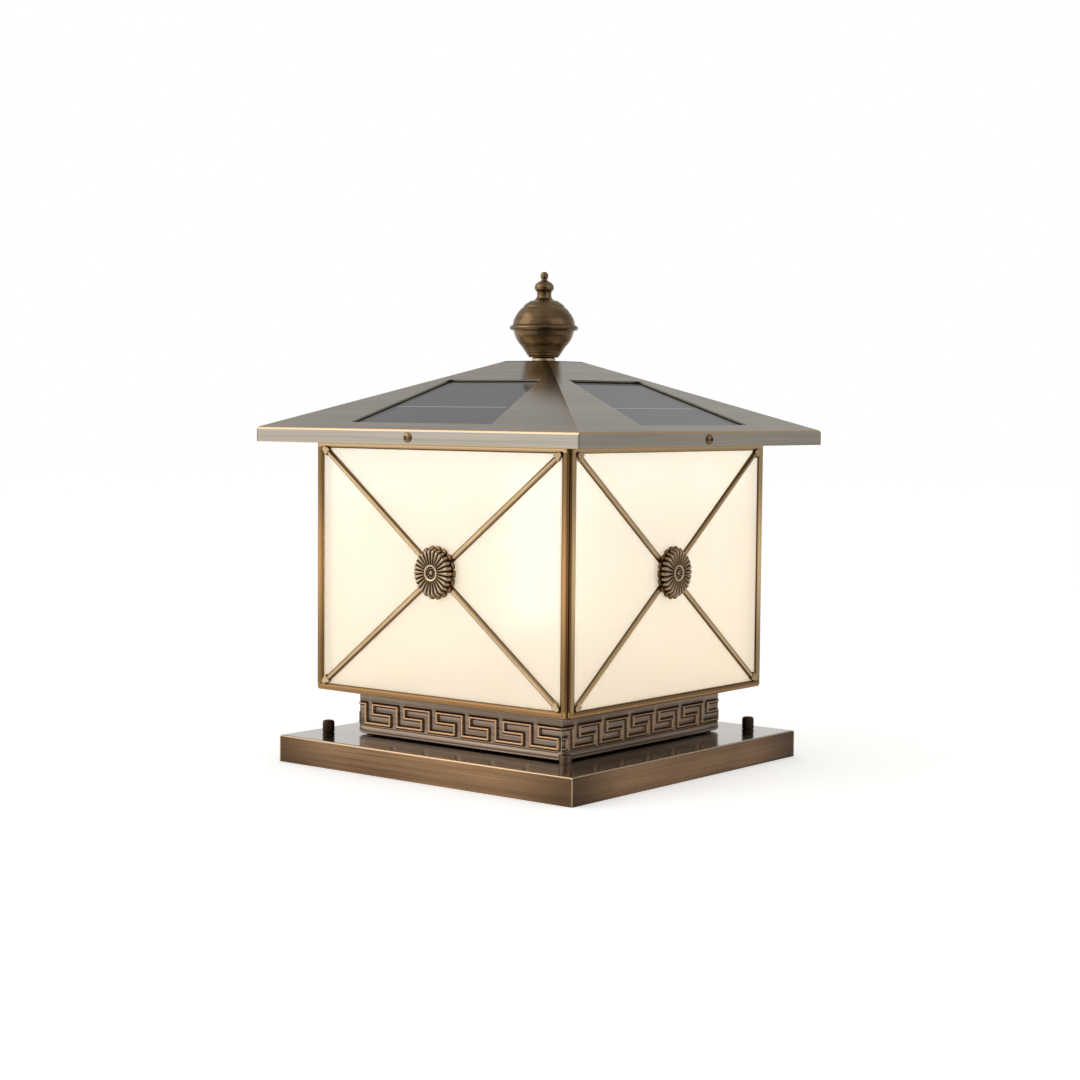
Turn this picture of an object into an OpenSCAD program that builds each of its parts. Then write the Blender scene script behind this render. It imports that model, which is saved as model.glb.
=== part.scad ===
// Solar pillar light: a hip-roofed lantern on a square base, with its solar cells in the roof.
// Sizes are millimetres, +Z is up and the origin is the centre of the base's underside.
// The front face looks along -Y, and the four sides follow each other by quarter turns.

/* [Base] */
// Width of the square base tray
tray_w = 276; // [240:1:320]
// Height of the base tray
tray_h = 20; // [16:0.5:30]
// Thickness of the tray sheet
tray_t = 1.5; // [1:0.1:2.5]
// Width of the flange folded inwards under the tray
tray_flange = 9; // [6:0.5:14]
// Outside radius of the tray's folded edges
tray_bend = 1.6; // [0:0.1:3]

/* [Mounting strap] */
// Distance of each stud from the tray's two nearest sides
stud_inset = 25.5; // [20:0.5:40]
// Width of the diagonal strap
strap_w = 28; // [20:1:40]
// Thickness of the strap
strap_t = 3; // [2:0.5:5]
// Length of the strap past each stud
strap_over = 7; // [5:0.5:10]
// Diameter of the studs
stud_d = 5; // [4:0.5:6]
// Distance between the two anchor holes in the strap
anchor_span = 150; // [100:5:200]
// Diameter of the anchor holes in the strap
anchor_d = 9; // [6:0.5:13]
// Width across the flats of the dome nuts
nut_af = 8; // [7:0.5:10]
// Height of the dome nuts
nut_h = 10; // [8:0.5:14]

/* [Neck] */
// Width of the neck between the fields of two opposite panels
neck_w = 190; // [150:1:210]
// Height of the neck panels
neck_h = 32; // [28:0.1:44]
// Gap between the tray and the neck panels
neck_gap = 2.4; // [1.5:0.1:8]
// Thickness of a neck panel without its relief
neck_t = 2; // [1.5:0.1:3]
// Height of the relief above the field
key_rise = 1.5; // [0.8:0.1:2.2]
// Width of the relief's raised line
key_line = 1.8; // [1.2:0.1:2.6]
// Length of one repeat of the key pattern
key_pitch = 31.6; // [24:0.1:36]
// Height of the key pattern between its line centres
key_h = 14.3; // [12:0.1:20]
// Height of the sloping lip along a neck panel's lower edge
lip_h = 4.4; // [2:0.1:6]
// How far the lip stands out at its foot
lip_out = 1.2; // [0.5:0.1:1.8]
// Diameter of the round corner feet
foot_d = 9; // [7:0.1:12]

/* [Cage] */
// Width of the cage over two opposite face frames
cage_w = 240; // [200:1:250]
// Height of the cage
cage_h = 185.3; // [140:0.1:260]
// Thickness of a face frame
frame_t = 2.3; // [1.6:0.1:3]
// Width of the frame's upright bars
stile_w = 5.7; // [4.5:0.1:9]
// Width of the frame's level bars
rail_w = 5; // [4:0.1:9]
// Rounding of the frame bars' front edges
bar_round = 0.8; // [0.3:0.1:1]
// Thickness of the glass panes
glass_t = 3; // [2:0.5:4]
// How far a pane reaches behind its frame
glass_lap = 1; // [0.8:0.1:2]
// Thickness of the cage floor plate
floor_t = 2; // [1.5:0.1:3]
// Width of the crossed bars
cross_w = 4.8; // [3:0.1:7]
// Height of the crossed bars off the glass
cross_h = 2.2; // [1.4:0.1:2.2]
// Length of the soldered tab at each end of a crossed bar
tab_len = 9; // [6:0.5:12]
// Width of a soldered tab
tab_w = 6.6; // [5:0.1:8]
// Thickness of a soldered tab on the glass
tab_t = 1.5; // [0.8:0.1:1.8]

/* [Rosettes] */
// Diameter over the outer petals
rosette_d = 38.6; // [28:0.1:50]
// Petals in the outer layer
outer_petals = 18; // [12:1:24]
// Petals in the inner layer
inner_petals = 26; // [16:1:32]

/* [Roof] */
// Width of the roof over its fascia
roof_w = 300; // [290:1:360]
// Height of the folded fascia
fascia_h = 10.6; // [10:0.1:18]
// Rise from the top of the fascia to the flat crown
roof_rise = 50.4; // [44:0.1:80]
// Width of the flat crown under the finial
crown_w = 40; // [34:1:60]
// Thickness of the roof sheet
roof_t = 1.2; // [0.8:0.1:1.6]
// Outside radius of the folds in the roof sheet
roof_bend = 2.5; // [1.6:0.1:3]
// How far the fascia hangs below the roof floor
fascia_lip = 2.4; // [1.5:0.1:4]
// Thickness of the seal between the cage and the roof floor
seal_t = 0.8; // [0.5:0.1:2]

/* [Solar panels] */
// Width of a window at its lower edge
window_low = 132; // [100:1:150]
// Width of a window at its upper edge
window_high = 86; // [60:1:100]
// Length of a window along the slope
window_len = 87; // [60:1:92]
// Distance of a window's lower edge from the fascia, along the slope
window_rise = 12.4; // [10:0.1:20]
// Thickness of a solar panel
panel_t = 2.4; // [1.6:0.1:4]
// How far a panel reaches past its window on each side
panel_lap = 4; // [3:0.5:5]
// Thickness of the gasket between the panel and the sheet
gasket_t = 0.6; // [0.4:0.1:1.5]

/* [Finial] */
// Largest diameter of the finial's hollow ball, without its rolled seam
ball_d = 47.4; // [36:0.1:60]
// Height of the lower bowl from its foot to the seam
bowl_h = 20; // [16:0.1:28]
// Height of the dome above the seam, without its neck
dome_h = 19.6; // [16:0.1:28]
// How far the rolled seam stands out from the ball
seam_out = 2.1; // [1:0.1:3]
// Thickness of the spun sheet
spun_t = 1; // [0.8:0.1:1.6]
// Diameter of the knob on top
knob_d = 14.6; // [12:0.1:20]

/* [Tie rod] */
// Diameter of the tie rod that clamps the lantern together
rod_d = 6; // [5:0.5:7]
// Depth of the rod in the knob
rod_grip = 5.5; // [4:0.5:7]

/* [Lamp] */
// Width of the square lamp column
column_w = 32; // [26:1:60]
// Length of the lamp column
column_len = 122; // [80:1:126]
// Height of the column's lower end above the cage floor
column_clear = 44; // [20:1:50]
// LEDs on each side of the column
leds = 7; // [4:1:10]

/* [Switch] */
// Diameter of the push button
button_d = 8; // [6:0.5:9]
// Travel of the push button
button_travel = 1.8; // [1:0.1:2.2]

/* [Clearances] */
// Clearance round bolts and round the tie rod, on the radius
bolt_play = 0.3; // [0.2:0.05:0.6]
// Running clearance round the rod in the knob and round the button, on the radius
run_play = 0.08; // [0.05:0.01:0.1]
// Gap between sheets that slide or fit into each other
sheet_play = 0.3; // [0.2:0.05:0.5]

/* [Hidden] */
$fn = 48;
overrun = 1;

// Heights of the stack, from the pillar up
neck_z = tray_h + neck_gap;
cage_z = neck_z + neck_h;
cage_top = cage_z + cage_h;
roof_floor_z = cage_top + seal_t;
roof_floor_t = 1.2;
eave_z = roof_floor_z - fascia_lip;
fascia_top = eave_z + fascia_h;
crown_z = fascia_top + roof_rise;
slope = atan(roof_rise / ((roof_w - crown_w) / 2));

// Base and strap
stud_xy = tray_w / 2 - stud_inset;
strap_half = stud_xy * sqrt(2) + strap_over;
washer_d = 10;
washer_t = 1;
rod_nut_h = 5;
stud_top = tray_h + washer_t + nut_h * 0.6;
rod_hole_d = rod_d + 2 * bolt_play;
stud_hole_d = stud_d + 2 * bolt_play;

// Neck
foot_xy = neck_w / 2 - 2;
foot_rim = 3.6;
key_z = neck_z + 6.7 + key_h / 2;
key_first = 6.6;
key_shift = 5.4;

// Cage
frame_back = cage_w / 2 - frame_t;
glass_in = frame_back - glass_t;
open_w = 2 * (frame_back - stile_w);
open_h = cage_h - 2 * rail_w;
mid_z = cage_z + cage_h / 2;
glass_w = open_w + 2 * glass_lap;
glass_z = cage_z + floor_t + sheet_play;
glass_h = cage_top - sheet_play - glass_z;
post_in = 7;
frame_corner = 2.6;

// Rosette layers, as distances from the middle of the lantern
petal_back = frame_back + cross_h;
plate_t = 1;
outer_r = rosette_d / 2;
outer_tip = 2.7;
inner_r = outer_r * 0.7;
inner_tip = 1.35;
button_r = 4.3;

// Roof floor and fascia screws
roof_in = roof_w / 2 - roof_t;
roof_floor_half = roof_in - sheet_play;
floor_flange = 5.5;
screw_z = eave_z + 5.1;
screw_d = 4;
screw_head_d = 7.4;
screw_head_h = 2.4;
screw_len = 9;
rivet_d = 6;
rivet_len = 6;
relief_w = 10;
guide_len = 24;
guide_h = 8;
guide_t = 1.2;

// Finial heights
washer_h = 3.4;
bowl_z = crown_z + washer_h;
seam_z = bowl_z + bowl_h;
seam_h = 4.2;
dome_z = seam_z + seam_h;
dome_top = dome_z + dome_h;
neck_stub_h = 5.2;
neck_stub_r = 6.2;
knob_z = dome_top + neck_stub_h;
rod_top = knob_z + rod_grip;
rod_bottom = tray_h - tray_t - 8;

// Lamp
column_z = cage_z + floor_t + column_clear;
column_top = column_z + column_len;
stem_d = 20;
stem_bore = rod_d + 5.6;
flange_d = 46;
flange_t = 3;
board_w = column_w - 6;
board_t = 1.6;
led_w = 5;
led_t = 1.4;
cap_t = 3;

// Battery and controller on the roof floor
floor_up = roof_floor_z + roof_floor_t;
cell_d = 26;
cell_len = 65;
cell_gap = 4;
cell_y = 52;
holder_t = 1.6;
board_x = 70;
board_y = 44;
board_at = -54;
standoff_h = 5;

// Switch in the eave, behind the lantern
switch_x = 100;
switch_y = (cage_w / 2 + roof_in) / 2;
barrel_d = button_d + 3;
bezel_d = barrel_d + 3.4;
bezel_t = 1.2;
barrel_h = 7.8;
button_low = eave_z + 0.3;
button_len = 6;
switch_nut_t = 1.8;

// Side 0 is the front, 1 the right, 2 the back and 3 the left
module side(k) {
    rotate(90 * k) children();
}

// A point in the picture plane of the front face: x across, y up, thickness from depth d0 to d1
module front_slab(d0, d1) {
    translate([0, -d0, 0]) rotate([90, 0, 0]) linear_extrude(d1 - d0) children();
}

// Places children on the front slope: x across, y up the slope, z out of the sheet
module on_slope() {
    translate([0, -roof_w / 2, fascia_top]) rotate([slope, 0, 0]) children();
}

// The solid where two like profiles cross: a square body with the profile on all four sides
module crossed(len) {
    intersection() {
        rotate([90, 0, 0]) translate([0, 0, -len / 2]) linear_extrude(len) children();
        rotate(90) rotate([90, 0, 0]) translate([0, 0, -len / 2]) linear_extrude(len) children();
    }
}

module ring(d_out, d_in, h) {
    difference() {
        cylinder(d = d_out, h = h);
        translate([0, 0, -overrun]) cylinder(d = d_in, h = h + 2 * overrun);
    }
}

module hexagon_nut(af, h) {
    cylinder(d = af / cos(30), h = h, $fn = 6);
}

// The two studs on the strap's diagonal
module at_studs(z) {
    for (s = [-1, 1]) translate([s * stud_xy, s * stud_xy, z]) children();
}

// Base tray

module tray_outline(inset) {
    offset(r = max(tray_bend - inset, 0.01)) offset(delta = -max(tray_bend - inset, 0.01) - inset)
        translate([-tray_w / 2, -tray_w]) square([tray_w, tray_w + tray_h]);
}

module tray_body(inset) {
    intersection() {
        crossed(2 * tray_w) tray_outline(inset);
        translate([-tray_w, -tray_w, 0]) cube([2 * tray_w, 2 * tray_w, tray_h]);
    }
}

module base_tray() {
    color("#7E6448") difference() {
        tray_body(0);
        difference() {
            tray_body(tray_t);
            difference() {
                translate([-tray_w, -tray_w, 0]) cube([2 * tray_w, 2 * tray_w, tray_t]);
                translate([-tray_w / 2 + tray_flange, -tray_w / 2 + tray_flange, -overrun])
                    cube([tray_w - 2 * tray_flange, tray_w - 2 * tray_flange, tray_t + 2 * overrun]);
            }
        }
        at_studs(0) cylinder(d = stud_hole_d, h = tray_h + overrun);
        cylinder(d = rod_hole_d, h = tray_h + overrun);
    }
}

// Diagonal strap that is anchored to the pillar, and its studs

module mounting_strap() {
    color("#8A8A8C") difference() {
        rotate(45) intersection() {
            translate([-strap_half, -strap_w / 2, 0]) cube([2 * strap_half, strap_w, strap_t]);
            cylinder(r = strap_half, h = strap_t, $fn = 96);
        }
        at_studs(-overrun) cylinder(d = stud_d, h = strap_t + 2 * overrun);
        for (s = [-1, 1]) rotate(45) translate([s * anchor_span / 2, 0, -overrun])
            cylinder(d = anchor_d, h = strap_t + 2 * overrun);
    }
}

module strap_studs() {
    color("#A0A0A2") at_studs(0) cylinder(d = stud_d, h = stud_top);
}

module stud_washers() {
    color("#2A2520") at_studs(tray_h) ring(washer_d, stud_hole_d, washer_t);
}

module dome_nut() {
    skirt = nut_h * 0.45;
    dome_r = nut_af / 2 - 0.2;
    difference() {
        union() {
            hexagon_nut(nut_af, skirt);
            cylinder(r = dome_r, h = nut_h - dome_r);
            translate([0, 0, nut_h - dome_r]) sphere(r = dome_r);
        }
        translate([0, 0, -dome_r]) cylinder(d = stud_d, h = stud_top - tray_h - washer_t + dome_r);
    }
}

module dome_nuts() {
    color("#2A2520") at_studs(tray_h + washer_t) dome_nut();
}

// Neck: four panels with a key pattern on round corner feet

module corner_feet() {
    color("#5A4B3E") for (k = [0:3]) side(k) difference() {
        translate([foot_xy, -foot_xy, tray_h]) cylinder(d = foot_d, h = neck_gap + foot_rim);
        translate([-neck_w / 2 - lip_out, -neck_w / 2 - lip_out, neck_z])
            cube([neck_w + 2 * lip_out, neck_w + 2 * lip_out, foot_rim + overrun]);
    }
}

// One repeat of the key: the full upright, then in along the foot and back out over the top
function key_path(x) = [[x, 1], [x, -1], [x + 0.77 * key_pitch, -1], [x + 0.77 * key_pitch, 0],
    [x + 0.23 * key_pitch, 0], [x + 0.23 * key_pitch, 1], [x + key_pitch, 1]];

module key_stroke(a, b) {
    lo = [min(a.x, b.x), min(a.y, b.y) * key_h / 2] - [key_line / 2, key_line / 2];
    hi = [max(a.x, b.x), max(a.y, b.y) * key_h / 2] + [key_line / 2, key_line / 2];
    translate(lo) square(hi - lo);
}

module key_pattern(first) {
    intersection() {
        for (n = [-1:ceil(neck_w / key_pitch)]) {
            path = key_path(-neck_w / 2 + first + n * key_pitch);
            for (i = [0:len(path) - 2]) key_stroke(path[i], path[i + 1]);
        }
        translate([-neck_w / 2 - key_rise, -key_h]) square([neck_w + 2 * key_rise, 2 * key_h]);
    }
}

module neck_panel(k) {
    color("#6A5F55") side(k) intersection() {
        union() {
            translate([-neck_w / 2, -neck_w / 2, neck_z]) cube([neck_w, neck_t, neck_h]);
            translate([-neck_w, -neck_w / 2, neck_z]) rotate([90, 0, 90]) linear_extrude(2 * neck_w)
                polygon([[neck_t / 2, 0], [-lip_out, 0], [-lip_out, lip_h / 4], [0, lip_h],
                    [neck_t / 2, lip_h]]);
            translate([0, 0, key_z]) front_slab(neck_w / 2 - neck_t / 2, neck_w / 2 + key_rise)
                key_pattern(key_first + key_shift * (k % 2));
        }
        linear_extrude(cage_z) polygon([[0, 0], [-neck_w, -neck_w], [neck_w, -neck_w]]);
    }
}

// Cage floor, tie rod and its nut

module cage_floor() {
    color("#6B5236") difference() {
        translate([-frame_back, -frame_back, cage_z]) cube([2 * frame_back, 2 * frame_back, floor_t]);
        translate([0, 0, cage_z - overrun]) cylinder(d = rod_hole_d, h = floor_t + 2 * overrun);
    }
}

module tie_rod() {
    color("#A0A0A2") translate([0, 0, rod_bottom]) cylinder(d = rod_d, h = rod_top - rod_bottom);
}

// A hexagon nut that stands on its washer
module washer_nut() {
    difference() {
        union() {
            cylinder(d = 2 * rod_d, h = washer_t);
            hexagon_nut(rod_d * 1.67, washer_t + rod_nut_h);
        }
        translate([0, 0, -overrun]) cylinder(d = rod_d, h = rod_nut_h + washer_t + 2 * overrun);
    }
}

// The lower nut holds the tray and the neck against the upper one on the cage floor
module rod_nuts() {
    color("#A0A0A2") {
        translate([0, 0, tray_h - tray_t]) mirror([0, 0, 1]) washer_nut();
        translate([0, 0, cage_z + floor_t]) washer_nut();
    }
}

// Cage: corner posts with glazing channels, face frames, glass and crossed bars

// Half of the front right post's outline: the core in the open corner, then the leg behind a pane
function post_half(end, skin, web) = [[frame_back, frame_back], [frame_back, end], [skin, end],
    [skin, skin - post_in], [skin - web, skin - post_in], [skin - web, skin - web]];

module post_outline() {
    half = post_half(glass_w / 2 + sheet_play, glass_in - sheet_play, 1.6);
    polygon(concat([for (p = half) [p.x, -p.y]], [for (i = [4:-1:1]) [half[i].y, -half[i].x]]));
}

module corner_post(k) {
    color("#3A2A1E") side(k) translate([0, 0, cage_z + floor_t])
        linear_extrude(cage_h - floor_t) post_outline();
}

// A flat bar along x with rounded front edges, its front towards -Y and its middle at z = 0
module frame_bar(len, w) {
    rotate([90, 0, 90]) translate([0, 0, -len / 2]) linear_extrude(len) intersection() {
        translate([0, -w / 2]) offset(r = bar_round) offset(delta = -bar_round) square([2 * frame_t, w]);
        translate([0, -w / 2]) square([frame_t, w]);
    }
}

// Mitre mask: what lies within 45 degrees of the bar's own side of the frame
module frame_mitre(half_a, half_b) {
    rotate([90, 0, 0]) translate([0, 0, -frame_t - overrun]) linear_extrude(2 * frame_t + 2 * overrun)
        polygon([[-half_a, 0], [half_a, 0], [half_a - half_b, half_b], [half_b - half_a, half_b]]);
}

module face_frame(k) {
    half_w = frame_back;
    half_h = cage_h / 2;
    color("#B08450") side(k) translate([0, -cage_w / 2, mid_z]) intersection() {
        rotate([90, 0, 0]) translate([0, 0, -2 * frame_t]) linear_extrude(3 * frame_t) offset(r = frame_corner)
            offset(delta = -frame_corner) square([2 * half_w, 2 * half_h], center = true);
        for (s = [0, 180]) rotate([0, s, 0]) union() {
            intersection() {
                translate([0, 0, -half_h + rail_w / 2]) frame_bar(2 * half_w, rail_w);
                translate([0, 0, -half_h]) frame_mitre(half_w, half_w);
            }
            rotate([0, 90, 0]) intersection() {
                translate([0, 0, -half_w + stile_w / 2]) frame_bar(2 * half_h, stile_w);
                translate([0, 0, -half_w]) frame_mitre(half_h, half_h);
            }
        }
    }
}

module glass_pane(k) {
    color("#FDF6E3") side(k) translate([-glass_w / 2, -frame_back, glass_z]) cube([glass_w, glass_t, glass_h]);
}

// Half-round bar from corner to corner of the opening
module cross_bar(turn) {
    rotate([0, turn, 0]) rotate([90, 0, 90]) translate([0, 0, -cage_w]) linear_extrude(2 * cage_w)
        polygon([for (i = [0:12]) [-cross_h * min(1, 1.04 * sin(15 * i)), cross_w / 2 * cos(15 * i)]]);
}
module cross_tab(turn, s) {
    reach = norm([open_w, open_h]) / 2;
    rotate([0, turn, 0]) rotate([90, 0, 0]) linear_extrude(tab_t) polygon([
        [s * (reach - tab_len), cross_w / 2], [s * (reach - tab_len + 1.5), tab_w / 2],
        [s * (reach + tab_w), tab_w / 2], [s * (reach + tab_w), -tab_w / 2],
        [s * (reach - tab_len + 1.5), -tab_w / 2], [s * (reach - tab_len), -cross_w / 2]]);
}

module crossed_bars(k) {
    turn = atan(open_h / open_w);
    color("#C4AE94") side(k) translate([0, -frame_back, mid_z]) intersection() {
        union() {
            cross_bar(turn);
            cross_bar(-turn);
            for (t = [turn, -turn], s = [-1, 1]) cross_tab(t, s);
        }
        translate([-open_w / 2, -2 * cross_h, -open_h / 2]) cube([open_w, 2 * cross_h, open_h]);
    }
}

// Rosettes: two layers of petals and a button, at the crossing of the bars

// A petal that lies along x, narrow at the middle of the flower and round at its tip
module petal(root, tip, root_r, tip_r, lift) {
    translate([root, 0, lift]) rotate([0, 90, 0])
        cylinder(r1 = root_r, r2 = tip_r, h = tip - tip_r - root, $fn = 16);
    translate([tip - tip_r, 0, lift]) sphere(r = tip_r, $fn = 16);
}

// Stands a flower that faces +Z on the middle of a side, with its back at the given depth
module on_face(k, depth) {
    side(k) translate([0, -depth, mid_z]) rotate([90, 0, 0]) children();
}

module petal_layer(count, tip, tip_r, hub_r, hub_h, lift) {
    intersection() {
        union() {
            cylinder(r = tip - tip_r, h = plate_t);
            cylinder(r = hub_r, h = hub_h);
            for (i = [0:count - 1]) rotate(360 / count * i) petal(tip * 0.3, tip, tip_r * 0.4, tip_r, lift);
        }
        cylinder(r = 2 * tip, h = 4 * tip_r);
    }
}

module rosette_outer() {
    color("#C4AE94") for (k = [0:3]) on_face(k, petal_back)
        petal_layer(outer_petals, outer_r, outer_tip, inner_r * 0.75, outer_tip, 0.2);
}

module rosette_inner() {
    color("#C4AE94") for (k = [0:3]) on_face(k, petal_back + outer_tip)
        petal_layer(inner_petals, inner_r, inner_tip, button_r * 0.8, 1.2, 0.6);
}

module rosette_buttons() {
    color("#3A2A1E") for (k = [0:3]) on_face(k, petal_back + outer_tip + 1.2) {
        cylinder(r = button_r, h = 1.6);
        translate([0, 0, 1.6]) rotate_extrude() translate([button_r - 0.8, 0]) circle(r = 0.8, $fn = 16);
        translate([0, 0, 1.2]) cylinder(r1 = button_r * 0.5, r2 = button_r * 0.3, h = 1.5);
    }
}

// Roof cover: one folded sheet with a fascia, four slopes and four windows

module roof_outline(inset) {
    offset(r = roof_bend - inset) offset(delta = -roof_bend) polygon([
        [-roof_w / 2, 0], [-roof_w / 2, fascia_top], [-crown_w / 2, crown_z],
        [crown_w / 2, crown_z], [roof_w / 2, fascia_top], [roof_w / 2, 0]]);
}

module roof_body(inset) {
    crossed(2 * roof_w) roof_outline(inset);
}

module window(lap) {
    lean = atan((window_low - window_high) / 2 / window_len);
    side_lap = lap / cos(lean);
    shift = lap * tan(lean);
    polygon([[-window_low / 2 - side_lap - shift, -lap], [window_low / 2 + side_lap + shift, -lap],
        [window_high / 2 + side_lap - shift, window_len + lap],
        [-window_high / 2 - side_lap + shift, window_len + lap]]);
}

module roof_cover() {
    color("#8C8578") difference() {
        roof_body(0);
        roof_body(roof_t);
        translate([-roof_w, -roof_w, -overrun]) cube([2 * roof_w, 2 * roof_w, eave_z + overrun]);
        translate([0, 0, crown_z - 2 * roof_t]) cylinder(d = rod_hole_d, h = 4 * roof_t);
        for (k = [0:3]) side(k) {
            on_slope() translate([0, window_rise, -2 * roof_t]) linear_extrude(4 * roof_t) window(0);
            translate([0, -roof_w / 2 - overrun, screw_z]) rotate([-90, 0, 0])
                cylinder(d = screw_d + 2 * bolt_play, h = 2 * roof_t + overrun);
        }
    }
}

module solar_panel(k) {
    color("#6E7072") side(k) on_slope() translate([0, window_rise, -roof_t - gasket_t - panel_t])
        linear_extrude(panel_t) window(panel_lap);
}

module solar_gaskets() {
    color("#1A1A1A") for (k = [0:3]) side(k) on_slope() translate([0, window_rise, -roof_t - gasket_t])
        linear_extrude(gasket_t) difference() {
            window(panel_lap);
            window(0.4);
        }
}

// Roof floor with an upturned flange, screwed to the fascia

module roof_floor() {
    half = roof_floor_half;
    color("#8C8578") difference() {
        translate([-half, -half, roof_floor_z]) cube([2 * half, 2 * half, floor_flange]);
        translate([-half + roof_floor_t, -half + roof_floor_t, floor_up])
            cube([2 * (half - roof_floor_t), 2 * (half - roof_floor_t), floor_flange]);
        translate([0, 0, roof_floor_z - overrun]) cylinder(d = stem_bore, h = roof_floor_t + 2 * overrun);
        translate([switch_x, switch_y, roof_floor_z - overrun])
            cylinder(d = barrel_d + 2 * sheet_play, h = roof_floor_t + 2 * overrun);
        for (k = [0:3]) side(k) {
            translate([-relief_w / 2, -half + roof_floor_t, roof_floor_z - overrun])
                cube([relief_w, rivet_len + 2, roof_floor_t + 2 * overrun]);
            translate([0, -half - overrun, screw_z]) rotate([-90, 0, 0])
                cylinder(d = screw_d + 2 * bolt_play, h = roof_floor_t + 2 * overrun);
        }
    }
}

// A screw with a low domed head and a six-sided socket
module button_screw() {
    difference() {
        union() {
            translate([0, 0, -screw_len]) cylinder(d = screw_d, h = screw_len);
            intersection() {
                cylinder(d = screw_head_d, h = screw_head_h);
                translate([0, 0, screw_head_h - screw_head_d * 0.62]) sphere(r = screw_head_d * 0.62);
            }
        }
        translate([0, 0, screw_head_h - 1.4]) cylinder(d = 2.9, h = 2, $fn = 6);
    }
}

module fascia_screws() {
    color("#4A3A28") for (k = [0:3]) side(k) translate([0, -roof_w / 2, screw_z]) rotate([90, 0, 0])
        button_screw();
}

module rivet_nuts() {
    color("#A0A0A2") for (k = [0:3]) side(k)
        translate([0, -roof_floor_half + roof_floor_t, screw_z]) rotate([-90, 0, 0])
            ring(rivet_d, screw_d, rivet_len);
}

module cage_seal() {
    inner = glass_in - post_in;
    color("#1A1A1A") translate([0, 0, cage_top]) linear_extrude(seal_t) difference() {
        square(cage_w - 2, center = true);
        square(2 * inner, center = true);
    }
}

// Angle strips under the roof floor that drop inside the cage's corners
module roof_guides() {
    corner = glass_in - post_in - 2 * sheet_play;
    color("#8C8578") for (k = [0:3]) side(k) translate([0, 0, roof_floor_z - guide_h]) difference() {
        translate([corner - guide_len, -corner, 0]) cube([guide_len, guide_len, guide_h]);
        translate([corner - guide_len - overrun, -corner + guide_t, -overrun])
            cube([guide_len + overrun - guide_t, guide_len + overrun, guide_h + 2 * overrun]);
    }
}

// Battery, controller and wiring on the roof floor

module battery_holder() {
    len = 2 * cell_len + 3 * cell_gap;
    wall_h = cell_d * 0.55;
    color("#222222") translate([-len / 2, cell_y - cell_d / 2 - holder_t - sheet_play, floor_up])
    difference() {
        cube([len, cell_d + 2 * (holder_t + sheet_play), wall_h]);
        translate([holder_t, holder_t, holder_t])
            cube([len - 2 * holder_t, cell_d + 2 * sheet_play, wall_h]);
    }
}

module battery_cells() {
    color("#3F6FA8") for (s = [-1, 1])
        translate([s * (cell_len + cell_gap) / 2 - cell_len / 2, cell_y, floor_up + holder_t + cell_d / 2])
            rotate([0, 90, 0]) {
                cylinder(d = cell_d, h = cell_len - 1.5);
                cylinder(d = 8, h = cell_len);
            }
}

module charge_controller() {
    top = floor_up + standoff_h;
    color("#2E6B3A") translate([-board_x / 2, board_at - board_y / 2, top]) {
        cube([board_x, board_y, board_t]);
        for (x = [5, board_x - 5], y = [5, board_y - 5])
            translate([x, y, -standoff_h]) cylinder(d = 5, h = standoff_h);
        translate([14, 12, board_t]) cylinder(d = 9, h = 12);
        translate([28, 8, board_t]) cube([12, 12, 6]);
        translate([46, 12, board_t]) cube([9, 7, 1.8]);
        for (i = [0:3]) translate([8 + 15 * i, board_y - 9, board_t]) cube([10, 7, 7]);
    }
}

// A wire along its points, with a ball at each bend
module wire(points, r) {
    for (i = [0:len(points) - 2]) {
        d = points[i + 1] - points[i];
        translate(points[i]) rotate([0, acos(d.z / norm(d)), atan2(d.y, d.x)])
            cylinder(r = r, h = norm(d), $fn = 16);
        if (i > 0) translate(points[i]) sphere(r = 1.12 * r, $fn = 16);
    }
}

// Leads from the controller's sockets: to a panel, the battery, the switch and the lamp
module wiring() {
    panel_y = -96;
    under = fascia_top + (roof_w / 2 + panel_y) * tan(slope) - (roof_t + gasket_t + panel_t) / cos(slope);
    bore_x = (rod_d + stem_bore) / 4;
    sock_y = board_at + board_y / 2 - 5.5;
    sock_z = floor_up + standoff_h + board_t + 7;
    lead_r = 1;
    color("#8A1F1F") {
        wire([[-22, sock_y, sock_z], [-22, sock_y, sock_z + 4],
            [-8, -2, floor_up + 18], [-8, 4, floor_up + 14],
            [-8, cell_y - cell_d / 2 - holder_t - sheet_play, floor_up + 8]], lead_r);
        wire([[-7, sock_y, sock_z], [-7, sock_y, sock_z + 4],
            [-7, panel_y + 2, under - 8], [-7, panel_y, under]], lead_r);
        wire([[8, sock_y, sock_z], [8, sock_y, sock_z + 4], [bore_x + 2, -6, floor_up + 8],
            [bore_x, 0, floor_up + 3], [bore_x, 0, floor_up - 12]], lead_r);
        wire([[23, sock_y, sock_z], [23, sock_y, sock_z + 4],
            [78, 18, floor_up + 2.4], [82, 92, floor_up + 3.2],
            [switch_x, switch_y - barrel_d / 2 - 0.2, floor_up + 5]], lead_r);
    }
}

// Lamp column under the roof floor, with the tie rod through its bore

module lamp_stem() {
    color("#B8B8BA") translate([0, 0, column_top]) difference() {
        union() {
            cylinder(d = stem_d, h = roof_floor_z - column_top);
            translate([0, 0, roof_floor_z - column_top - flange_t]) cylinder(d = flange_d, h = flange_t);
        }
        translate([0, 0, -overrun]) cylinder(d = stem_bore, h = roof_floor_z - column_top + 2 * overrun);
    }
}

module lamp_column() {
    color("#B8B8BA") translate([0, 0, column_z + cap_t]) linear_extrude(column_len - cap_t) difference() {
        square(column_w, center = true);
        circle(d = stem_bore);
        for (k = [0:3]) rotate(90 * k) translate([column_w / 2 - 4.5, column_w / 2 - 4.5]) square(2.6);
    }
}

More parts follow.
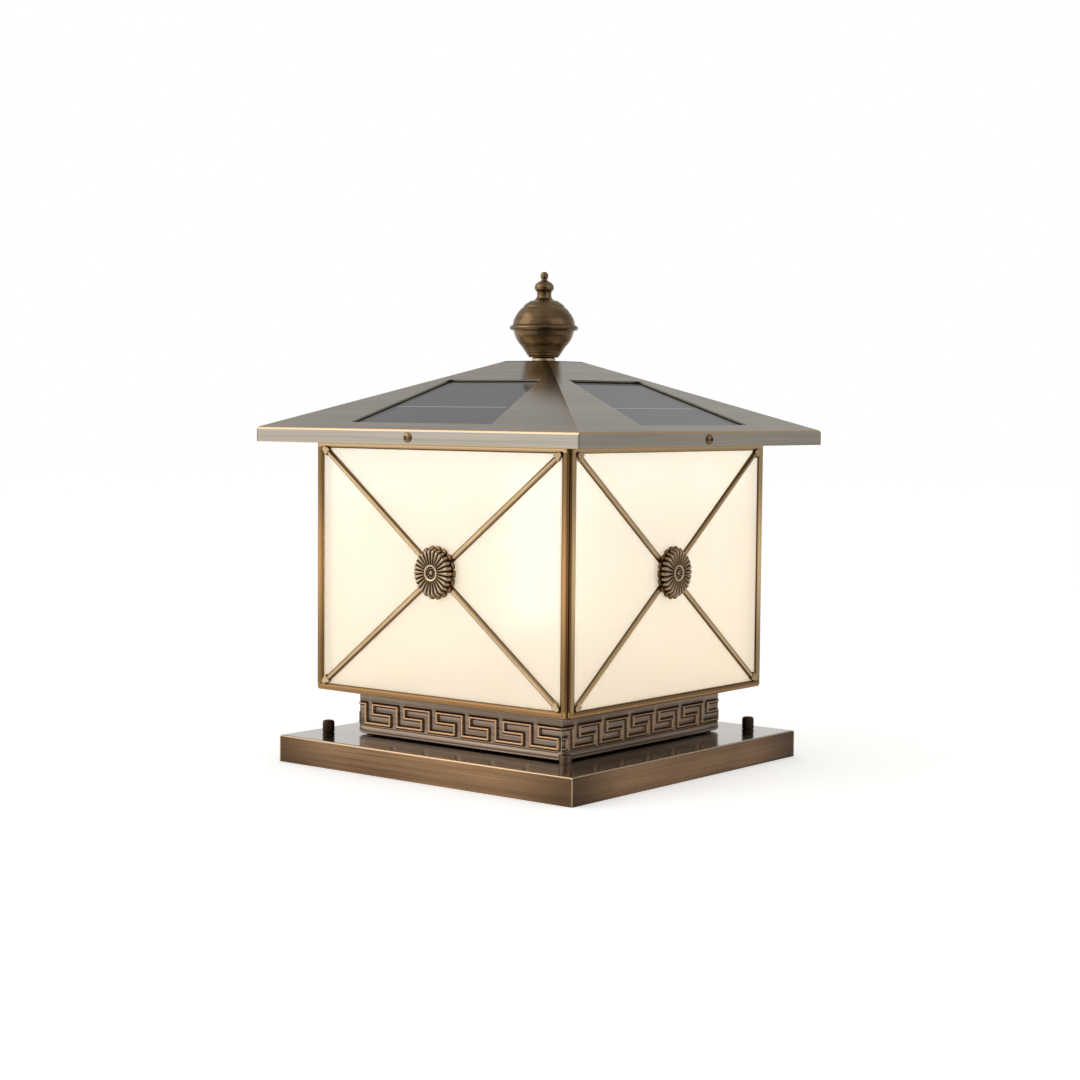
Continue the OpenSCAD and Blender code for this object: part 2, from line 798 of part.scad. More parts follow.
module led_boards() {
    pitch = (column_len - cap_t) / leds;
    color("#F4F0E0") for (k = [0:3]) side(k) {
        translate([-board_w / 2, -column_w / 2 - board_t, column_z + cap_t])
            cube([board_w, board_t, column_len - cap_t]);
        for (i = [0:leds - 1], s = [-1, 1])
            translate([s * board_w / 4 - led_w / 2, -column_w / 2 - board_t - led_t,
                column_z + cap_t + (i + 0.5) * pitch - led_w / 2]) cube([led_w, led_t + board_t / 2, led_w]);
    }
}

module lamp_end_cap() {
    color("#F0F0F0") translate([0, 0, column_z]) linear_extrude(cap_t) difference() {
        offset(r = 2) offset(delta = -2) square(column_w + 4, center = true);
        circle(d = stem_bore);
    }
}

// Push switch through the roof floor

module switch_body() {
    color("#1A1A1A") translate([switch_x, switch_y, 0]) difference() {
        union() {
            translate([0, 0, roof_floor_z - bezel_t]) cylinder(d = bezel_d, h = bezel_t);
            translate([0, 0, roof_floor_z - bezel_t])
                cylinder(d = barrel_d, h = bezel_t + roof_floor_t + barrel_h);
        }
        translate([0, 0, roof_floor_z - bezel_t - overrun])
            cylinder(d = button_d + 2 * run_play, h = bezel_t + roof_floor_t + barrel_h - 1.2 + overrun);
    }
}

module switch_nut() {
    color("#A0A0A2") translate([switch_x, switch_y, floor_up]) difference() {
        hexagon_nut(barrel_d + 3, switch_nut_t);
        translate([0, 0, -overrun]) cylinder(d = barrel_d, h = switch_nut_t + 2 * overrun);
    }
}

module switch_button() {
    color("#8A1F1F") translate([switch_x, switch_y, button_low]) {
        translate([0, 0, 0.6]) cylinder(d = button_d, h = button_len - 0.6);
        cylinder(d1 = button_d - 1.2, d2 = button_d, h = 0.6);
    }
}

// Finial: washer, spun bowl with a rolled seam, stepped dome and the turned knob

module finial_washer() {
    color("#7A5C38") translate([0, 0, crown_z]) ring(14.2, rod_hole_d, washer_h);
}

// Outlines of the ball as [share of the height, share of the radius], from the foot and from the seam up
BOWL = [[0, 0.47], [0.03, 0.51], [0.18, 0.615], [0.33, 0.74], [0.475, 0.84],
    [0.625, 0.905], [0.775, 0.955], [0.925, 0.99], [1, 1]];
DOME = [[0, 1], [0.16, 0.966], [0.31, 0.91], [0.46, 0.84], [0.61, 0.735], [0.685, 0.65]];
SHOULDER = [[0.685, 0.615], [0.78, 0.56], [0.86, 0.48], [0.875, 0.44], [0.93, 0.40], [0.97, 0.33], [1, 0.265]];

function spun(shape, z, h, in = 0, up = 0) = [for (p = shape) [p.y * ball_d / 2 - in, z + p.x * h + up]];

module finial_bowl() {
    r = ball_d / 2;
    mid = seam_z + seam_h / 2;
    color("#8A6A42") rotate_extrude($fn = 96) difference() {
        union() {
            polygon(concat([[0, bowl_z]], spun(BOWL, bowl_z, bowl_h), [[r, mid], [0, mid]]));
            translate([r + seam_out - seam_h / 2, mid]) circle(d = seam_h, $fn = 24);
        }
        polygon(concat([[0, bowl_z + spun_t]], spun(BOWL, bowl_z, bowl_h, spun_t, spun_t),
            [[r - spun_t, dome_z + overrun], [0, dome_z + overrun]]));
        translate([-overrun, 0]) square([overrun + rod_hole_d / 2, 2 * dome_top]);
        for (f = [0.14, 0.26]) translate([lookup(f, BOWL) * r, bowl_z + f * bowl_h]) circle(r = 0.4, $fn = 12);
    }
}

// Shell above the seam with a stepped shoulder and a hollow neck for the knob
module finial_dome() {
    r = ball_d / 2;
    color("#8A6A42") rotate_extrude($fn = 96) difference() {
        polygon(concat([[0, dome_z]], spun(DOME, dome_z, dome_h), spun(SHOULDER, dome_z, dome_h),
            [[neck_stub_r, dome_top + 0.4], [neck_stub_r, knob_z], [0, knob_z]]));
        polygon(concat([[0, dome_z - overrun], [r - spun_t, dome_z - overrun]],
            spun([DOME[0], DOME[1], DOME[2], DOME[3]], dome_z, dome_h, spun_t, 0),
            [[SHOULDER[1].y * r - spun_t, dome_z + 0.6 * dome_h],
            [SHOULDER[3].y * r - spun_t, dome_z + 0.76 * dome_h], [0, dome_z + 0.84 * dome_h]]));
        translate([-overrun, 0]) square([overrun + rod_hole_d / 2, 2 * dome_top]);
    }
}

module finial_knob() {
    r = knob_d / 2;
    color("#8A6A42") translate([0, 0, knob_z]) difference() {
        rotate_extrude() {
            polygon(concat([[0, 0], [r * 0.86, 0]],
                [for (a = [-18:12:66]) [r * cos(a), 2.6 + r * 0.86 * sin(a)]],
                [[2.6, 8.6], [2.4, 9.4], [0, 9.4]]));
            intersection() {
                translate([0, 11.5]) circle(r = 3.4);
                translate([0, 0]) square(4 * r);
            }
        }
        translate([0, 0, -overrun]) cylinder(r = rod_d / 2 + run_play, h = rod_grip + 0.5 + overrun);
    }
}

base_tray();
mounting_strap();
strap_studs();
stud_washers();
dome_nuts();
corner_feet();
neck_panel(0);  // neck_front
neck_panel(1);  // neck_right
neck_panel(2);  // neck_back
neck_panel(3);  // neck_left
cage_floor();
tie_rod();
rod_nuts();
corner_post(0);  // post_front_right
corner_post(1);  // post_back_right
corner_post(2);  // post_back_left
corner_post(3);  // post_front_left
face_frame(0);  // frame_front
face_frame(1);  // frame_right
face_frame(2);  // frame_back
face_frame(3);  // frame_left
glass_pane(0);  // glass_front
glass_pane(1);  // glass_right
glass_pane(2);  // glass_back
glass_pane(3);  // glass_left
crossed_bars(0);  // cross_front
crossed_bars(1);  // cross_right
crossed_bars(2);  // cross_back
crossed_bars(3);  // cross_left
rosette_outer();
rosette_inner();
rosette_buttons();
roof_cover();
solar_panel(0);  // solar_front
solar_panel(1);  // solar_right
solar_panel(2);  // solar_back
solar_panel(3);  // solar_left
solar_gaskets();
roof_floor();
fascia_screws();
rivet_nuts();
cage_seal();
roof_guides();
battery_holder();
battery_cells();
charge_controller();
wiring();
lamp_stem();
lamp_column();
led_boards();
lamp_end_cap();
switch_body();
switch_nut();
switch_button();
finial_washer();
finial_bowl();
finial_dome();
finial_knob();
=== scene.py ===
"""Looks of a solar pillar light: finishes, modelled detail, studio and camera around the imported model."""

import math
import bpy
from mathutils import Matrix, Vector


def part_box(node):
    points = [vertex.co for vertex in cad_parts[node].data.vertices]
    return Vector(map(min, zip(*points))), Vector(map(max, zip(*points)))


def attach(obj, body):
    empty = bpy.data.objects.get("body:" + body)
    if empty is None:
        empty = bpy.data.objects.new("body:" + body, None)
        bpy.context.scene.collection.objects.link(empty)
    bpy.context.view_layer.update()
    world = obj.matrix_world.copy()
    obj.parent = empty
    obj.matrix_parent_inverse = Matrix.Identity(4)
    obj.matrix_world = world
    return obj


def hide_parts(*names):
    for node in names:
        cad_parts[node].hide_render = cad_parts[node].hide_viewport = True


bl_info = {
    "name": "Solar pillar light",
    "version": (1, 0, 0),
    "blender": (4, 5, 0),
    "location": "3D Viewport > Sidebar > Pillar light",
    "description": "Builds the finishes and the fine detail of a solar pillar light around its packed model",
    "category": "Object",
}

import bmesh
import bpy
import numpy as np
from bpy.props import FloatProperty, FloatVectorProperty, IntProperty, PointerProperty
from mathutils import Matrix, Vector

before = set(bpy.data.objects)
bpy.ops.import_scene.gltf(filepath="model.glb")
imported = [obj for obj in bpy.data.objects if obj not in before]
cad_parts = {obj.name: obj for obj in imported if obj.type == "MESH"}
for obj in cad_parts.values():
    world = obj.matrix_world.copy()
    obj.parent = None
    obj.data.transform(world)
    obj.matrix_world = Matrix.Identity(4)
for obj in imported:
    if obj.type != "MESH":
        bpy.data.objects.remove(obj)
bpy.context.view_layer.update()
MM = 0.001
SIDES = ("front", "right", "back", "left")

# Brush lines: cycles per metre across and along them, and their depth in metres
BRUSH_FINE = 2600.0
BRUSH_LONG = 9.0
BRUSH_DEPTH = 0.00002


# Colours


def linear(code):
    """An opaque colour written as six hexadecimal digits, in the linear values that shaders use."""
    channels = [int(code[i : i + 2], 16) / 255 for i in (0, 2, 4)]
    return [c / 12.92 if c <= 0.04045 else ((c + 0.055) / 1.055) ** 2.4 for c in channels] + [1.0]


def as_colour(value):
    """Six hexadecimal digits made linear. Anything else is a colour or a socket already."""
    return linear(value) if isinstance(value, str) else value


# Shader maths


class Value:
    """A socket in a node tree. Arithmetic on it adds Math nodes."""

    def __init__(self, nodes, socket):
        self.nodes = nodes
        self.socket = socket

    def math(self, operation, *values):
        return self.nodes.add("ShaderNodeMath", {"operation": operation}, dict(enumerate(values)))

    def __add__(self, other):
        return self.math("ADD", self, other)

    __radd__ = __add__

    def __sub__(self, other):
        return self.math("SUBTRACT", self, other)

    def __rsub__(self, other):
        return self.math("SUBTRACT", other, self)

    def __mul__(self, other):
        return self.math("MULTIPLY", self, other)

    __rmul__ = __mul__

    def __truediv__(self, other):
        return self.math("DIVIDE", self, other)

    def __abs__(self):
        return self.math("ABSOLUTE", self)

    def __pow__(self, other):
        return self.math("POWER", self, other)

    def __gt__(self, other):
        return self.math("GREATER_THAN", self, other)

    def __lt__(self, other):
        return self.math("LESS_THAN", self, other)

    def fraction(self):
        return self.math("FRACT", self)

    def larger(self, other):
        return self.math("MAXIMUM", self, other)

    def smaller(self, other):
        return self.math("MINIMUM", self, other)

    def ramp(self, low, high):
        """0 below low and 1 above high, smooth between."""
        settings = {"interpolation_type": "SMOOTHSTEP"}
        return self.nodes.add("ShaderNodeMapRange", settings, {0: self, 1: low, 2: high})

    def near(self, middle, reach):
        """1 at the middle, and 0 further from it than the reach."""
        return 1 - abs(self - middle).ramp(0.0, reach)


class Nodes:
    """Adds nodes to one tree: settings first, then the values or links of the sockets."""

    def __init__(self, tree):
        self.tree = tree

    def add(self, kind, settings=None, sockets=None, output=0):
        node = self.tree.nodes.new(kind)
        for name, setting in (settings or {}).items():
            if name == "stops":
                ramp = node.color_ramp
                while len(ramp.elements) < len(setting):
                    ramp.elements.new(1.0)
                for element, (place, colour) in zip(ramp.elements, setting):
                    element.position = place
                    element.color = colour
            else:
                setattr(node, name, setting)
        for key, value in (sockets or {}).items():
            if isinstance(value, Value):
                self.tree.links.new(value.socket, node.inputs[key])
            else:
                node.inputs[key].default_value = value
        return Value(self, node.outputs[output])

    def mix(self, factor, low, high):
        """The colour between low and high."""
        sockets = {0: factor, 6: as_colour(low), 7: as_colour(high)}
        return self.add("ShaderNodeMix", {"data_type": "RGBA"}, sockets, 2)

    def colours(self, factor, *stops):
        """A colour ramp over the factor, with its stops as (place, colour)."""
        stops = [(place, as_colour(colour)) for place, colour in stops]
        return self.add("ShaderNodeValToRGB", {"stops": stops}, {0: factor})

    def position(self, scale=(1.0, 1.0, 1.0)):
        """The Object coordinates, stretched."""
        place = self.add("ShaderNodeTexCoord", output=3)
        return self.add("ShaderNodeVectorMath", {"operation": "MULTIPLY"}, {0: place, 1: scale})

    def axes(self, vector=None):
        """The x, y and z of a vector, or of the Object coordinates."""
        vector = vector or self.position()
        split = self.add("ShaderNodeSeparateXYZ", sockets={0: vector}).socket.node
        return [Value(self, socket) for socket in split.outputs]

    def facing(self):
        """The x, y and z of the surface's own direction."""
        return self.axes(self.add("ShaderNodeTexCoord", output=1))

    def noise(self, scale, detail=3.0):
        """Noise between 0 and 1, with a scale in cycles per metre, the same for all axes or one for each."""
        scale = scale if isinstance(scale, (tuple, list)) else (scale,) * 3
        sockets = {"Vector": self.position(scale), "Scale": 1.0, "Detail": detail, "Roughness": 0.55}
        return self.add("ShaderNodeTexNoise", sockets=sockets)

    def ray(self, name):
        """1 for rays of that kind, as Light Path names it."""
        return Value(self, self.add("ShaderNodeLightPath").socket.node.outputs[name])

    def attribute(self, name):
        """A number that the piece's mesh holds for each vertex."""
        return self.add("ShaderNodeAttribute", {"attribute_name": name}, output=2)

    def bump(self, height, strength, distance=BRUSH_DEPTH):
        sockets = {"Strength": strength, "Distance": distance, "Height": height}
        return self.add("ShaderNodeBump", sockets=sockets)


class Finish:
    """A procedural material on one Principled shader."""

    def __init__(self, name, **sockets):
        self.material = bpy.data.materials.new(name)
        self.material.use_nodes = True
        self.nodes = Nodes(self.material.node_tree)
        self.shader = self.material.node_tree.nodes["Principled BSDF"]
        self.set(**sockets)

    def fade(self, factor):
        """Lets rays through where the factor is 1."""
        clear = self.nodes.add("ShaderNodeBsdfTransparent")
        solid = Value(self.nodes, self.shader.outputs[0])
        mixed = self.nodes.add("ShaderNodeMixShader", sockets={0: factor, 1: solid, 2: clear})
        output = self.material.node_tree.nodes["Material Output"]
        self.nodes.tree.links.new(mixed.socket, output.inputs["Surface"])

    def set(self, **sockets):
        """Sets sockets by their names, written with underscores for spaces."""
        for name, value in sockets.items():
            socket = self.shader.inputs[name.replace("_", " ")]
            if isinstance(value, Value):
                self.nodes.tree.links.new(value.socket, socket)
            else:
                socket.default_value = value
        return self


def brush_lines(nodes, axis):
    """Fine brush lines that run square to the given axis."""
    scale = [BRUSH_LONG] * 3
    scale[axis] = BRUSH_FINE
    broad = [BRUSH_LONG / 3] * 3
    broad[axis] = BRUSH_FINE / 9
    return nodes.noise(scale, 2.0) * 0.6 + nodes.noise(broad, 2.0) * 0.4


def brushed_metal(name, dark, light, rough, axis=2):
    """A plated metal with brush lines between two colours, square to the given axis."""
    finish = Finish(name, Metallic=1.0)
    nodes = finish.nodes
    streak = brush_lines(nodes, axis)
    cloud = nodes.noise(14.0, 3.0)
    tone = streak.ramp(0.36, 0.64) * 0.65 + cloud.ramp(0.3, 0.7) * 0.35
    finish.set(
        Base_Color=nodes.mix(tone, dark, light),
        Roughness=rough + (streak - 0.5) * 0.18,
        Normal=nodes.bump(streak, 0.35),
    )
    return finish


# Meshes


def face_outward(mesh):
    """Turns every face of a closed mesh outward."""
    work = bmesh.new()
    work.from_mesh(mesh)
    bmesh.ops.recalc_face_normals(work, faces=work.faces)
    work.to_mesh(mesh)
    work.free()


def new_piece(name, points, faces, material, smooth=True, sharp=None):
    """An object at the origin with the given mesh, in metres."""
    mesh = bpy.data.meshes.new(name)
    mesh.from_pydata([tuple(p) for p in points], [], faces)
    face_outward(mesh)
    mesh.materials.append(material)
    if smooth:
        mesh.shade_smooth()
    if sharp:
        mesh.set_sharp_from_angle(angle=math.radians(sharp))
    piece = bpy.data.objects.new(name, mesh)
    bpy.context.scene.collection.objects.link(piece)
    return piece


def set_attribute(piece, name, values):
    """A number for each vertex, which a material can read."""
    layer = piece.data.attributes.new(name, "FLOAT", "POINT")
    layer.data.foreach_set("value", np.asarray(values, np.float32))


def turned(name, outline, material, segments=96):
    """A turned body from its outline of (radius, height). An outline off the axis is closed round a bore."""
    points, faces, rings = [], [], []
    for radius, height in outline:
        if radius < 1e-6:
            rings.append([len(points)])
            points.append((0.0, 0.0, height))
        else:
            rings.append(list(range(len(points), len(points) + segments)))
            turns = [2 * math.pi * i / segments for i in range(segments)]
            points += [(radius * math.cos(a), radius * math.sin(a), height) for a in turns]
    if outline[0][0] > 0:
        rings.append(rings[0])
    for low, high in zip(rings, rings[1:]):
        for i in range(segments):
            j = (i + 1) % segments
            if len(low) == 1:
                faces.append((low[0], high[j], high[i]))
            elif len(high) == 1:
                faces.append((low[i], low[j], high[0]))
            else:
                faces.append((low[i], low[j], high[j], high[i]))
    return new_piece(name, points, faces, material, sharp=32)


def rounded_outline(corners, steps=5):
    """An outline through (radius, height, rounding) corners, each corner rounded by that much."""
    out = []
    for i, (x, y, rounding) in enumerate(corners):
        here = Vector((x, y))
        if rounding <= 0 or i in (0, len(corners) - 1):
            out.append(here)
            continue
        before = Vector(corners[i - 1][:2]) - here
        after = Vector(corners[i + 1][:2]) - here
        cut = min(rounding, before.length * 0.5, after.length * 0.5)
        start = here + before.normalized() * cut
        end = here + after.normalized() * cut
        for k in range(steps + 1):
            t = k / steps
            out.append(start * (1 - t) ** 2 + here * (2 * t * (1 - t)) + end * t**2)
    return [tuple(p) for p in out]


# Geometry Nodes


class GeometryTree:
    """A Geometry Nodes tree with named inputs, ending in Realize Instances and Set Material."""

    def __init__(self, name, **sizes):
        self.tree = bpy.data.node_groups.new(name, "GeometryNodeTree")
        sockets = [("Geometry", "NodeSocketGeometry")]
        sockets += [(label, kind) for label, kind in sizes.items()]
        sockets += [("Finish", "NodeSocketMaterial")]
        interface = self.tree.interface
        made = [interface.new_socket(name=n, in_out="INPUT", socket_type=k) for n, k in sockets]
        self.identifiers = {socket.name: socket.identifier for socket in made}
        interface.new_socket(name="Geometry", in_out="OUTPUT", socket_type="NodeSocketGeometry")
        self.nodes = Nodes(self.tree)
        self.inputs = self.tree.nodes.new("NodeGroupInput")

    def input(self, name):
        return Value(self.nodes, self.inputs.outputs[name])

    def finish(self, geometry):
        solid = self.nodes.add("GeometryNodeRealizeInstances", sockets={0: geometry})
        sockets = {0: solid, "Material": self.input("Finish")}
        dressed = self.nodes.add("GeometryNodeSetMaterial", sockets=sockets)
        output = self.tree.nodes.new("NodeGroupOutput")
        self.tree.links.new(dressed.socket, output.inputs[0])
        return self

    def apply(self, piece, **values):
        """Runs the tree on the piece and leaves its result as a plain mesh."""
        modifier = piece.modifiers.new(self.tree.name, "NODES")
        modifier.node_group = self.tree
        for name, value in values.items():
            modifier[self.identifiers[name]] = value
        depsgraph = bpy.context.evaluated_depsgraph_get()
        mesh = bpy.data.meshes.new_from_object(piece.evaluated_get(depsgraph), depsgraph=depsgraph)
        piece.modifiers.clear()
        piece.data = mesh
        return piece


def turned_copies_tree():
    """Copies of a geometry turned about the Z axis, evenly over a full turn."""
    made = GeometryTree("Turned copies", Copies="NodeSocketInt")
    nodes, copies = made.nodes, made.input("Copies")
    points = nodes.add("GeometryNodePoints", sockets={"Count": copies})
    turn = nodes.add("GeometryNodeInputIndex") * (2 * math.pi) / copies
    rotation = nodes.add("ShaderNodeCombineXYZ", sockets={2: turn})
    sockets = {"Points": points, "Instance": made.input("Geometry"), "Rotation": rotation}
    return made.finish(nodes.add("GeometryNodeInstanceOnPoints", sockets=sockets))


TREES = {}


def turned_copies(piece, copies, material):
    """Turns the piece into that many copies of itself about the Z axis."""
    if "turned" not in TREES:
        TREES["turned"] = turned_copies_tree()
    return TREES["turned"].apply(piece, Copies=copies, Finish=material)


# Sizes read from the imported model


def node_low(node):
    """The least x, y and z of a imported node."""
    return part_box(node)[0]


def node_high(node):
    """The greatest x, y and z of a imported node."""
    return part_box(node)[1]


def paint(nodes, material):
    """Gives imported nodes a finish."""
    for name in nodes:
        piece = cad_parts[name]
        piece.data.materials.clear()
        piece.data.materials.append(material)


def stand_in(piece, node, body="lantern"):
    """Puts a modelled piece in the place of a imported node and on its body."""
    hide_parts(node)
    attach(piece, body)


def side_turn(index):
    """The quarter turn that brings the front side to another side."""
    return Matrix.Rotation(math.pi / 2 * index, 4, "Z")


# Settings that a user would change


class PillarFinishes(bpy.types.PropertyGroup):
    """Colours of the light's finishes."""

    tray_dark: FloatVectorProperty(
        name="Tray, dark",
        description="Darker tone of the brushed base tray",
        default=linear("765B45"),
        size=4,
        subtype="COLOR",
    )
    tray_light: FloatVectorProperty(
        name="Tray, light",
        description="Lighter tone of the brushed base tray",
        default=linear("B4906C"),
        size=4,
        subtype="COLOR",
    )
    roof_dark: FloatVectorProperty(
        name="Roof, dark",
        description="Darker tone of the roof sheet",
        default=linear("A39A8B"),
        size=4,
        subtype="COLOR",
    )
    roof_light: FloatVectorProperty(
        name="Roof, light",
        description="Lighter tone of the roof sheet",
        default=linear("C2BAAC"),
        size=4,
        subtype="COLOR",
    )
    painted_glow: FloatVectorProperty(
        name="Glow",
        description="Colour of the lit opal glass",
        default=linear("D4CDC0"),
        size=4,
        subtype="COLOR",
    )


class PillarSizes(bpy.types.PropertyGroup):
    """Sizes of the modelled detail."""

    key_line: FloatProperty(
        name="Key line",
        description="Width of the raised line of the key pattern",
        default=1.9 * MM,
        unit="LENGTH",
    )
    key_pitch: FloatProperty(
        name="Key repeat",
        description="Length of one repeat of the key pattern",
        default=31.6 * MM,
        unit="LENGTH",
    )
    key_height: FloatProperty(
        name="Key height",
        description="Height of the key pattern between its line centres",
        default=14.3 * MM,
        unit="LENGTH",
    )
    outer_petals: IntProperty(
        name="Outer petals", description="Petals in a rosette's outer layer", default=18, min=8, max=30
    )
    inner_petals: IntProperty(
        name="Inner petals", description="Petals in a rosette's inner layer", default=26, min=8, max=40
    )


class PillarStage(bpy.types.PropertyGroup):
    """Camera and studio."""

    lens: FloatProperty(
        name="Lens", description="Focal length of the camera in millimetres", default=69.72, min=20, max=200
    )
    key_power: FloatProperty(
        name="Key light", description="Power of the soft key light", default=9.0, unit="POWER"
    )
    fill_power: FloatProperty(
        name="Fill light", description="Power of the soft fill light", default=4.0, unit="POWER"
    )
    sky: FloatProperty(
        name="Room light", description="Strength of the even light of the room", default=0.75, min=0, max=3
    )
    far_side: FloatProperty(
        name="Far side",
        description="How bright metal sees the room away from the key light",
        default=0.5,
        min=0,
        max=1,
    )


class PillarOperator:
    """What every operator of this file shares."""

    bl_options = {"REGISTER", "UNDO"}

    def execute(self, context):
        self.build(context.scene)
        return {"FINISHED"}


# Stage


class PILLARLIGHT_OT_stage(PillarOperator, bpy.types.Operator):
    """Makes the camera, the pale floor, the soft lights and the white room"""

    bl_idname = "pillarlight.stage"
    bl_label = "Studio"

    # The camera that fits the photograph: its axes right, up and back, its place, and sensor width in mm
    CAMERA_AXES = ((0.77935, 0.62659, 0.00852), (-0.04630, 0.04402, 0.99796), (0.62491, -0.77812, 0.06331))
    CAMERA_PLACE = (0.9796, -1.2223, 0.2648)
    SENSOR = 36.0
    # Width and place of each soft light, and the point that both face, in metres
    KEY = (1.6, (-1.15, -1.35, 1.25))
    FILL = (1.8, (1.9, 0.1, 1.0))
    AIM = (0.0, 0.0, 0.18)
    FLOOR_HALF = 6.0
    # Where the floor fades out of metal's sight, in metres from the middle, and its glow for the camera
    FLOOR_FADE = (0.25, 0.6)
    FLOOR_GLOW = 0.30
    WHITE = (1.0, 1.0, 1.0, 1.0)
    # How bright metal sees the room towards the key light
    NEAR_SIDE = 1.05

    def build(self, scene):
        settings = scene.pillar_stage
        scene.view_settings.view_transform = "Standard"
        self.camera(scene, settings)
        self.floor()
        self.room(scene, settings)
        self.light("key_light", settings.key_power, *self.KEY)
        self.light("fill_light", settings.fill_power, *self.FILL)

    def camera(self, scene, settings):
        data = bpy.data.cameras.new("camera")
        data.lens = settings.lens
        data.sensor_width = self.SENSOR
        data.clip_end = 50.0
        camera = bpy.data.objects.new("camera", data)
        turn = Matrix(self.CAMERA_AXES).transposed().to_4x4()
        camera.matrix_world = Matrix.Translation(self.CAMERA_PLACE) @ turn
        scene.collection.objects.link(camera)
        scene.camera = camera

    def floor(self):
        """A pale floor with the shadow on it, whiter to the camera. Metal sees only its near part."""
        finish = Finish("pale_floor", Roughness=0.9, Specular_IOR_Level=0.1)
        nodes = finish.nodes
        seen = nodes.ray("Is Camera Ray").larger(nodes.ray("Is Transmission Ray"))
        finish.set(
            Base_Color=nodes.mix(nodes.noise(60.0, 2.0), "F6F6F5", "FAFAF9"),
            Emission_Color=self.WHITE,
            Emission_Strength=seen * self.FLOOR_GLOW,
        )
        x, y, _ = nodes.axes()
        far = (x * x + y * y) ** 0.5
        finish.fade(nodes.ray("Is Glossy Ray") * far.ramp(*self.FLOOR_FADE))
        half = self.FLOOR_HALF
        corners = [(-half, -half, 0), (half, -half, 0), (half, half, 0), (-half, half, 0)]
        new_piece("floor", corners, [(0, 1, 2, 3)], finish.material, smooth=False)

    def room(self, scene, settings):
        """White to the camera. Metal sees a white backdrop in a room that darkens away from the key light."""
        world = bpy.data.worlds.new("room")
        world.use_nodes = True
        scene.world = world
        nodes = Nodes(world.node_tree)
        seen = nodes.ray("Is Camera Ray").larger(nodes.ray("Is Transmission Ray"))
        plain = settings.sky + seen * (1.0 - settings.sky)
        x, y, z = nodes.axes(nodes.add("ShaderNodeTexCoord", output=0))
        toward = x * -0.62 + y * -0.77 + z * 0.1
        shade = settings.far_side + toward.ramp(0.1, 0.9) * (self.NEAR_SIDE - settings.far_side)
        backdrop = (x * -0.625 + y * 0.778).ramp(0.55, 0.85) * (1 - abs(z).ramp(0.14, 0.36))
        shade = shade.larger(backdrop)
        behind_camera = (x * 0.625 - y * 0.778).ramp(0.7, 0.97) * (1 - z.ramp(0.15, 0.55))
        shade = shade * (1 - behind_camera * 0.65)
        strength = plain + nodes.ray("Is Glossy Ray") * (shade - plain)
        background = world.node_tree.nodes["Background"]
        background.inputs["Color"].default_value = self.WHITE
        world.node_tree.links.new(strength.socket, background.inputs["Strength"])

    def light(self, name, power, size, place):
        data = bpy.data.lights.new(name, "AREA")
        data.energy = power
        data.shape = "SQUARE"
        data.size = size
        lamp = bpy.data.objects.new(name, data)
        turn = (Vector(self.AIM) - Vector(place)).to_track_quat("-Z", "Y").to_matrix().to_4x4()
        lamp.matrix_world = Matrix.Translation(place) @ turn
        bpy.context.scene.collection.objects.link(lamp)


# Base


